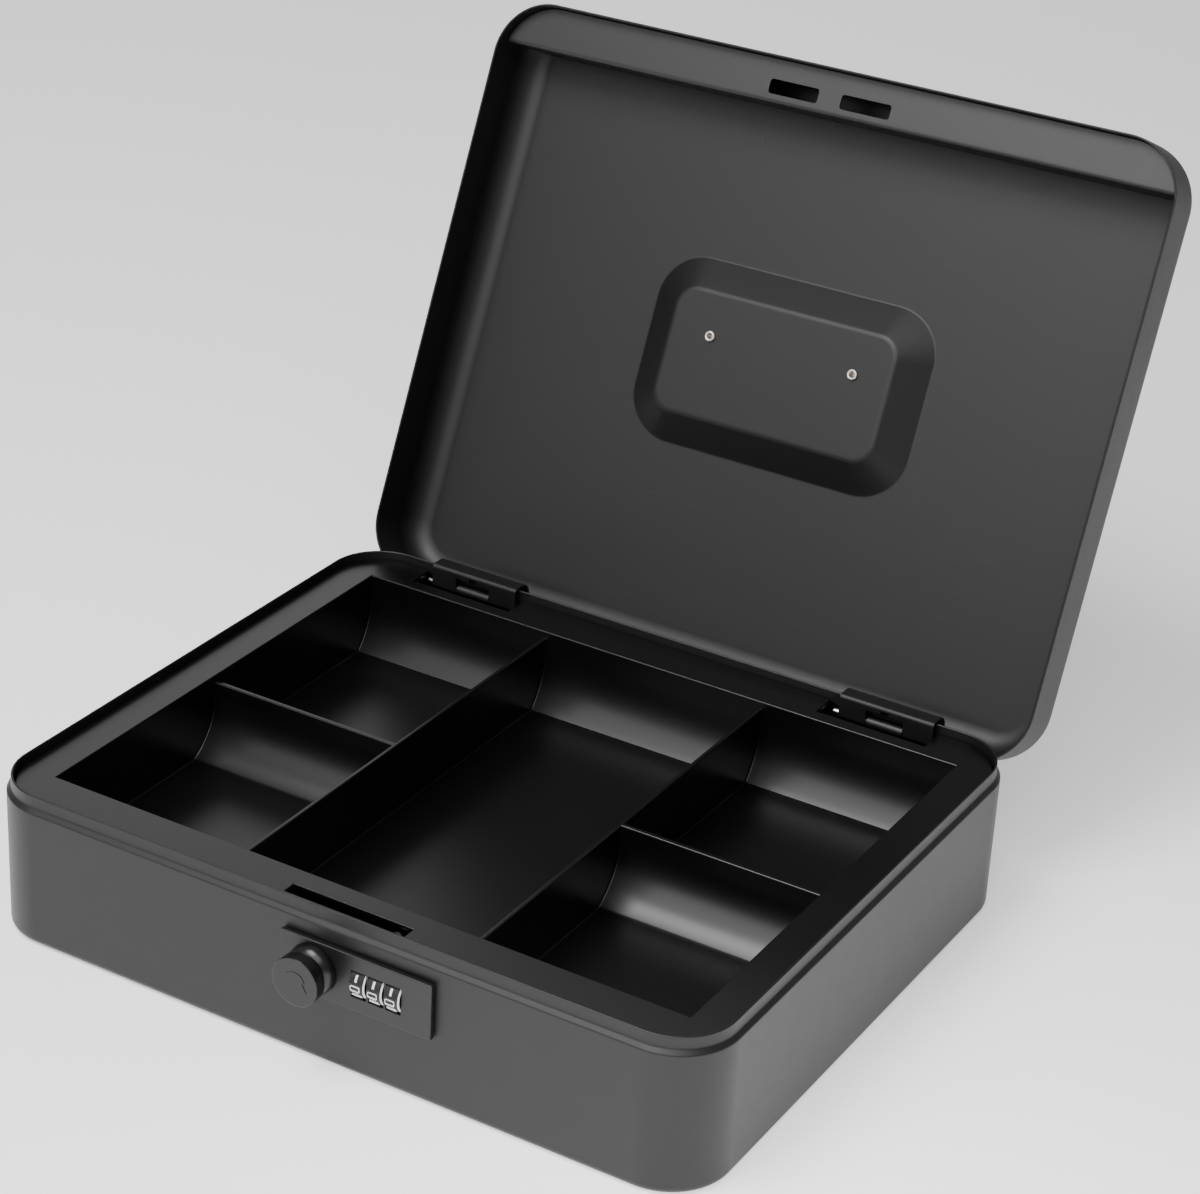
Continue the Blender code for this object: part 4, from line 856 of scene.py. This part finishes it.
# Lock
def make_knob():
    """The knob with its turned-in arrow cut into the face."""
    cap_low = KNOB_LENGTH - KNOB_CAP
    lip_top = KNOB_BACK + KNOB_LIP
    rim = KNOB_RADIUS - KNOB_EASE
    profile = [(0, KNOB_LENGTH), (rim - KNOB_FACE_RUN, KNOB_LENGTH)]
    profile += arc(rim, KNOB_LENGTH - KNOB_EASE, KNOB_EASE, 80, 0, steps=6)
    profile += arc(rim, cap_low + KNOB_EASE, KNOB_EASE, 0, -80, steps=6)
    bevel_run, bevel_start, bevel_end = NECK_BEVEL
    profile += [(KNOB_NECK + bevel_run, cap_low - bevel_start), (KNOB_NECK, cap_low - bevel_end)]
    dome_run, dome_rise = KNOB_SHOULDER
    profile += [(KNOB_COLLAR - dome_run + dome_run * u, lip_top + dome_rise * v)
                for u, v in arc(0, 0, 1, 78, 0, steps=20)]
    socket_radius, socket_end = KNOB_SOCKET
    profile += [(KNOB_COLLAR, KNOB_BACK + COLLAR_BEVEL), (KNOB_COLLAR - COLLAR_BEVEL, KNOB_BACK),
                (socket_radius, KNOB_BACK), (socket_radius, socket_end), (0, socket_end)]
    knob = lathe("turn_knob", profile, steps=96)
    start, end = ARROW_SWEEP
    outline = arc(0, 0, ARROW_RADIUS + ARROW_LINE / 2, start, end, steps=32)
    outline += [(ARROW_RADIUS + u, v) for u, v in ARROW_HEAD]
    outline += arc(0, 0, ARROW_RADIUS - ARROW_LINE / 2, end, start, steps=32)
    groove = prism("arrow_groove", outline, KNOB_LENGTH - ARROW_DEPTH, KNOB_LENGTH + CUT_PAST, "Z")
    knob = with_cut(knob, groove)
    forward = Matrix.Rotation(math.radians(90), 4, "X")
    placed(knob, Matrix.Translation((KNOB_X, PLATE_FACE_Y, LOCK_Z)) @ forward)
    return put(wear(weighted(knob, KNOB_SHARP), KNOB_COAT), "knob_assembly", ("knob",))


def make_lock_plate():
    """The cover plate with its wheel windows, the spindle's hole and the blind screw holes at its back."""
    low, high = (Vector(corner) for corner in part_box("lock_plate"))
    front = low.y - CUT_PAST
    back = high.y + CUT_PAST
    plate = rounded(block("cover_plate", low, high), PLATE_EDGE)
    for x in WHEEL_X:
        plate = with_cut(plate, block("wheel_window", (x - WINDOW_HALF, front, LOCK_Z + WINDOW_REACH[0]),
                                      (x + WINDOW_HALF, back, LOCK_Z + WINDOW_REACH[1])))
    holes = [(KNOB_X, LOCK_Z, SPINDLE_HOLE, front)]
    for screw in SCREWS:
        screw_low, screw_high = (Vector(corner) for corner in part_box(screw))
        middle = (screw_low + screw_high) / 2
        holes.append((middle.x, middle.z, SCREW_HOLE, screw_low.y - SCREW_END_GAP))
    for x, z, radius, start in holes:
        plate = with_cut(plate, prism("plate_hole", circle(x, z, radius, HOLE_SIDES), start, back, "Y"))
    return put(wear(rounded(plate, FINE_EDGE, segments=2, degrees=50), LOCK_COAT), "base", ("lock_plate",))


def make_wheel(index):
    """A ten-sided number wheel with eased corners, a groove between the digits and a bore."""
    x = WHEEL_X[index]
    half = WHEEL_WIDTH / 2
    pitch = 360 // DIGIT_COUNT
    inner, outer = SHOULDER_REACH
    outline = []
    for side in range(DIGIT_COUNT):
        turn = pitch * side - WHEEL_TURN
        outline += arc(WHEEL_Y, LOCK_Z, WHEEL_SHOULDER, turn - outer, turn - inner, steps=1)
        outline += arc(WHEEL_Y, LOCK_Z, WHEEL_FACE, turn - FACE_REACH, turn + FACE_REACH, steps=4)
        outline += arc(WHEEL_Y, LOCK_Z, WHEEL_SHOULDER, turn + inner, turn + outer, steps=1)
        outline.append(polar(WHEEL_Y, LOCK_Z, WHEEL_GROOVE, turn + pitch / 2))
    wheel = prism(f"wheel_body_{index + 1}", outline, x - half, x + half - RIM_CHAMFER, "X")
    bore = prism("wheel_bore", circle(WHEEL_Y, LOCK_Z, WHEEL_BORE, HOLE_SIDES), x - 2 * half, x + 2 * half,
                 "X")
    wheel = rounded(with_cut(wheel, bore), SHEET_EDGE, segments=2, degrees=50)
    return put(wear(wheel, WHEEL_BLACK), f"wheel_{index + 1}", (f"number_wheel_{index + 1}",))


# Each digit's strokes in a unit square, with 0, 0 at the lower left
DIGIT_LINES = {
    0: [[(0, 0), (1, 0), (1, 1), (0, 1), (0, 0)]],
    1: [[(0.5, -0.15), (0.5, 1.15)]],
    2: [[(0, 1), (1, 1), (1, 0.5), (0, 0.5), (0, 0), (1, 0)]],
    3: [[(0, 1), (1, 1), (1, 0), (0, 0)], [(0.2, 0.5), (1, 0.5)]],
    4: [[(0, 1), (0, 0.45), (1, 0.45)], [(0.75, 1), (0.75, 0)]],
    5: [[(1, 1), (0, 1), (0, 0.55), (1, 0.55), (1, 0), (0, 0)]],
    6: [[(1, 1), (0, 1), (0, 0), (1, 0), (1, 0.55), (0, 0.55)]],
    7: [[(0, 1), (1, 1), (0.45, 0)]],
    8: [[(0, 0), (1, 0), (1, 1), (0, 1), (0, 0)], [(0, 0.5), (1, 0.5)]],
    9: [[(0, 0), (1, 0), (1, 1), (0, 1), (0, 0.5), (1, 0.5)]],
}
DIGIT_SIZES = ("Wheel X", "Wheel Y", "Wheel Z", "Face Radius", "Digit Width", "Digit Height", "Stroke",
               "Corner Radius", "Turn", "Paint Depth")


def digit_tree():
    """Digits drawn as lines in a flat row become raised paint round a wheel, one for each tenth of a turn."""
    sockets = (("Lines", "Geometry"), *((label, "Float") for label in DIGIT_SIZES), ("Paint", "Material"))
    tree, given = begin_group("digits_round_wheel", sockets, "Digits")
    u, v, number = tree.split(tree.add("GeometryNodeInputPosition"))
    flat = tree.join((u - 0.5) * given("Digit Width"), 0.0, (v - 0.5) * given("Digit Height"))
    drawn = tree.add("GeometryNodeStoreNamedAttribute", {"data_type": "FLOAT", "domain": "POINT"},
                     {"Geometry": given("Lines"), "Name": "number", "Value": number})
    curves = tree.add("GeometryNodeMeshToCurve", {"mode": "EDGES"}, {"Mesh": moved_points(tree, drawn, flat)})
    eased = tree.add("GeometryNodeFilletCurve", {"mode": "POLY"},
                     {"Curve": curves, "Count": 4, "Limit Radius": True, "Radius": given("Corner Radius")})
    cut_fine = tree.add("GeometryNodeSubdivideCurve", {}, {"Curve": eased, "Cuts": 5})
    pen = tree.add("GeometryNodeCurvePrimitiveQuadrilateral", {"mode": "RECTANGLE"},
                   {"Width": given("Stroke"), "Height": given("Paint Depth")})
    strokes = tree.add("GeometryNodeCurveToMesh", {},
                       {"Curve": cut_fine, "Profile Curve": pen, "Fill Caps": True})
    x, depth, up = tree.split(tree.add("GeometryNodeInputPosition"))
    digit = tree.add("GeometryNodeInputNamedAttribute", {"data_type": "FLOAT"}, {"Name": "number"})
    angle = digit * (math.tau / DIGIT_COUNT) + up / given("Face Radius") + given("Turn")
    radius = given("Face Radius") - depth
    around = tree.join(x + given("Wheel X"), given("Wheel Y") - angle.cos() * radius,
                       given("Wheel Z") + angle.sin() * radius)
    return end_group(tree, moved_points(tree, strokes, around), given("Paint"), "Digits")


DIGITS = digit_tree()


def digit_lines():
    """All the digits' strokes as one mesh of edges. Each point's Z is its digit."""
    verts = []
    edges = []
    for digit, strokes in DIGIT_LINES.items():
        for stroke in strokes:
            for i, (u, v) in enumerate(stroke):
                closing = i == len(stroke) - 1 and stroke[0] == stroke[-1]
                if closing:
                    edges.append((len(verts) - 1, len(verts) - len(stroke) + 1))
                    continue
                verts.append((u, v, digit))
                if i:
                    edges.append((len(verts) - 2, len(verts) - 1))
    mesh = bpy.data.meshes.new("digit_lines")
    mesh.from_pydata(verts, edges, [])
    return mesh


def make_digits(index):
    obj = object_from(f"digits_{index + 1}", digit_lines())
    modifier = obj.modifiers.new("digits", "NODES")
    modifier.node_group = DIGITS
    sizes = (WHEEL_X[index] - DIGIT_SHIFT, WHEEL_Y, LOCK_Z, WHEEL_FACE + PAINT_LIFT, DIGIT_WIDTH,
             DIGIT_HEIGHT, DIGIT_STROKE, DIGIT_CORNER, math.radians(WHEEL_TURN), PAINT_DEPTH)
    set_inputs(modifier, {**dict(zip(DIGIT_SIZES, sizes)), "Paint": WHITE})
    return put(wear(faced_out(baked(obj)), WHITE), f"wheel_{index + 1}", ())


def make_rim_line(index):
    """The white line round each wheel's right-hand edge."""
    x = WHEEL_X[index] + WHEEL_WIDTH / 2
    outer = WHEEL_SHOULDER
    inner = outer - RIM_CHAMFER
    profile = [(outer, x - RIM_CHAMFER), (inner, x), (inner - RIM_SKIN, x), (inner - RIM_SKIN, x - RIM_SKIN),
               (outer - RIM_SKIN, x - RIM_CHAMFER)]
    bm = bmesh.new()
    rings = [[bm.verts.new((across, *point)) for point in circle(WHEEL_Y, LOCK_Z, radius, RIM_STEPS)]
             for radius, across in profile]
    for a, b in zip(rings, rings[1:] + rings[:1]):
        for i in range(RIM_STEPS):
            j = (i + 1) % RIM_STEPS
            bm.faces.new((a[i], a[j], b[j], b[i]))
    line = object_from(f"wheel_rim_line_{index + 1}", mesh_from("wheel_rim_line", bm))
    return put(wear(smooth(line), WHITE), f"wheel_{index + 1}", ())


# Hinges and handle
def make_leaf(side_name):
    """A hinge leaf whose lower ends are rounded off beside the curl."""
    node = f"hinge_leaf_{side_name}"
    low, high = (Vector(corner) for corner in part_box(node))
    leaf = plain_copy(node, LID_COAT)
    radius = LEAF_END_RADIUS
    for x, inward, start in ((low.x, 1, 180), (high.x, -1, 270)):
        curve = arc(x + inward * radius, low.z + radius, radius, start, start + 90, steps=10)
        outside = [(x - inward * radius, low.z + radius), (x - inward * radius, low.z - radius),
                   (x + inward * radius, low.z - radius)]
        outline = curve + (outside[::-1] if inward > 0 else outside)
        leaf = with_cut(leaf, prism("leaf_corner", outline, low.y - radius, PIVOT.y, "Y"))
    return put(wear(rounded(leaf, SHEET_EDGE, segments=2), LID_COAT), "lid", (node,))


def make_rivet(side_name, side):
    """A tubular rivet: a domed head on the lug and a rolled end with a dark bore inside the lid."""
    high = LID_TOP - RECESS_DEPTH + LUG_SHEET + 2 * SEAT_GAP
    low = LID_TOP - RECESS_DEPTH - SHEET - SEAT_GAP
    shank = RIVET_HOLE_RADIUS - SEAT_GAP
    roll = (RIVET_RADIUS - RIVET_BORE) / 2
    head_top = high + RIVET_HEAD
    mouth, bore_end = (RIVET_BORE * share for share in RIVET_BORE_TAPER)
    profile = [(0, head_top)]
    profile += [(RIVET_RADIUS * u, high + RIVET_HEAD * v) for u, v in arc(0, 0, 1, 80, 0, steps=8)]
    profile += [(shank, high), (shank, low), (RIVET_RADIUS, low)]
    profile += [(RIVET_RADIUS - roll + roll * u, low + RIVET_HEAD * v)
                for u, v in arc(0, 0, 1, 0, -180, steps=14)]
    profile += [(mouth, low + RIVET_HEAD), (bore_end, high), (0, high)]
    rivet = smooth(lathe(f"rivet_{side_name}", profile, steps=40), 50)
    placed(rivet, OPENING @ Matrix.Translation((HANDLE_X + side * RIVET_X, HANDLE_PIVOT_Y, 0)))
    return put(wear(rivet, RIVET_STEEL), "lid", (f"handle_rivet_{side_name}",))


# Everything in its place
def make_box():
    make_base()
    make_lid()
    make_tray()
    make_knob()
    for index in range(len(WHEEL_X)):
        make_wheel(index)
        make_digits(index)
        make_rim_line(index)
    make_lock_plate()
    from_node("strike_channel", STRIKE_COAT, SHEET_EDGE, body="lid")
    for side_name, side in (("left", -1), ("right", 1)):
        make_leaf(side_name)
        make_rivet(side_name, side)
        from_node(f"hinge_bracket_{side_name}", BOX_COAT, SHEET_EDGE)
        from_node(f"hinge_pin_{side_name}", STEEL, PIN_EDGE)
        from_node(f"tray_rail_{side_name}", BOX_COAT, SHEET_EDGE)
        from_node(f"handle_lug_{side_name}", LID_COAT, FINE_EDGE, body="lid")
    from_node("handle_bail", LID_COAT, 0, body="handle")
    from_node("lock_housing", ZINC, CAST_EDGE)
    from_node("latch_claw", ZINC, FINE_EDGE, body="knob_assembly")
    from_node("knob_spindle", STEEL, SPINDLE_EDGE, body="knob_assembly")
    from_node("spindle_nut", STEEL, FINE_EDGE, body="knob_assembly")
    for node in ("wheel_axle", "detent_spring", *SCREWS):
        from_node(node, STEEL, 0)


# Camera, light and floor
def make_camera():
    camera = bpy.data.cameras.new("camera")
    camera.sensor_fit = "HORIZONTAL"
    camera.sensor_width = SENSOR
    camera.lens = SENSOR * FOCAL_PIXELS / PHOTO_WIDTH_PIXELS
    camera.clip_end = VIEW_END
    obj = bpy.data.objects.new("camera", camera)
    bpy.context.scene.collection.objects.link(obj)
    turn = Matrix.Rotation(math.radians(CAMERA_AZIMUTH), 4, "Z")
    tilt = Matrix.Rotation(math.radians(90 - CAMERA_ELEVATION), 4, "X")
    roll = Matrix.Rotation(math.radians(CAMERA_ROLL), 4, "Z")
    obj.matrix_world = Matrix.Translation(CAMERA_PLACE) @ turn @ tilt @ roll
    bpy.context.scene.camera = obj


def area_light(name, place, target, size, power, tint=(1, 1, 1)):
    light = bpy.data.lights.new(name, "AREA")
    light.shape = "RECTANGLE"
    light.size, light.size_y = size
    light.energy = power
    light.color = tint
    obj = bpy.data.objects.new(name, light)
    bpy.context.scene.collection.objects.link(obj)
    obj.location = place
    obj.rotation_euler = (Vector(target) - Vector(place)).to_track_quat("-Z", "Y").to_euler()


def make_lights():
    area_light("softbox", place=(-0.25, -0.57, 1.35), target=(0.05, 0, 0.05), size=(0.7, 0.7), power=24)
    area_light("front_panel", place=(-0.10, -1.5, 1.12), target=(0, 0.1, 0.1), size=(1.9, 0.85), power=19)
    area_light("high_right", place=(0.75, -0.95, 1.75), target=(0, 0, 0.05), size=(1.0, 1.0), power=12,
               tint=(1.0, 0.97, 0.99))
    area_light("rear_left", place=(-1.1, 1.5, 0.95), target=(0, 0, 0.06), size=(2.0, 0.9), power=5.0)


def make_floor():
    """The pale floor, which gives off a little light of its own, most beside the box's right wall."""
    bm = bmesh.new()
    bmesh.ops.create_grid(bm, x_segments=1, y_segments=1, size=FLOOR_HALF)
    floor = object_from("floor", mesh_from("floor", bm, outward=False))
    floor.data.transform(Matrix.Translation((0, 0, -FLOOR_GAP)))
    material, tree, place = begin_material("pale_floor")
    shade = noise(tree, place, scale=3.0)
    fine = noise(tree, place, scale=700.0)
    colour = tree.mix(shade, (0.86, 0.86, 0.865), (0.90, 0.90, 0.90))
    aside, ahead = (wire - middle for wire, middle in zip(tree.split(place), GLOW_MIDDLE))
    spread = (aside * aside + ahead * ahead) / GLOW_REACH ** 2 + 1
    low, high = ((amount, amount, amount) for amount in GLOW_LEVELS)
    glow = tree.mix(spread.math("POWER", -2.0), low, high)
    roughness = FLOOR_ROUGHNESS + (fine - 0.5) * 0.1
    end_material(tree, fine, 0.02, 0.05 * MM, {"Base Color": colour, "Roughness": roughness,
                                               "Emission Color": glow, "Emission Strength": 1.0})
    wear(floor, material)


def make_world():
    """Even studio light, strongest halfway up."""
    world = bpy.data.worlds.new("studio")
    bpy.context.scene.world = world
    world.use_nodes = True
    tree = Tree(world.node_tree)
    height = tree.split(tree.add("ShaderNodeTexCoord", out="Generated"))[2]
    sky = tree.add("ShaderNodeValToRGB", {"stops": SKY_LEVELS}, {"Fac": height.clamped()})
    tree.plug(world.node_tree.nodes["Background"].inputs["Color"], sky)


make_box()
make_camera()
make_world()
make_floor()
make_lights()
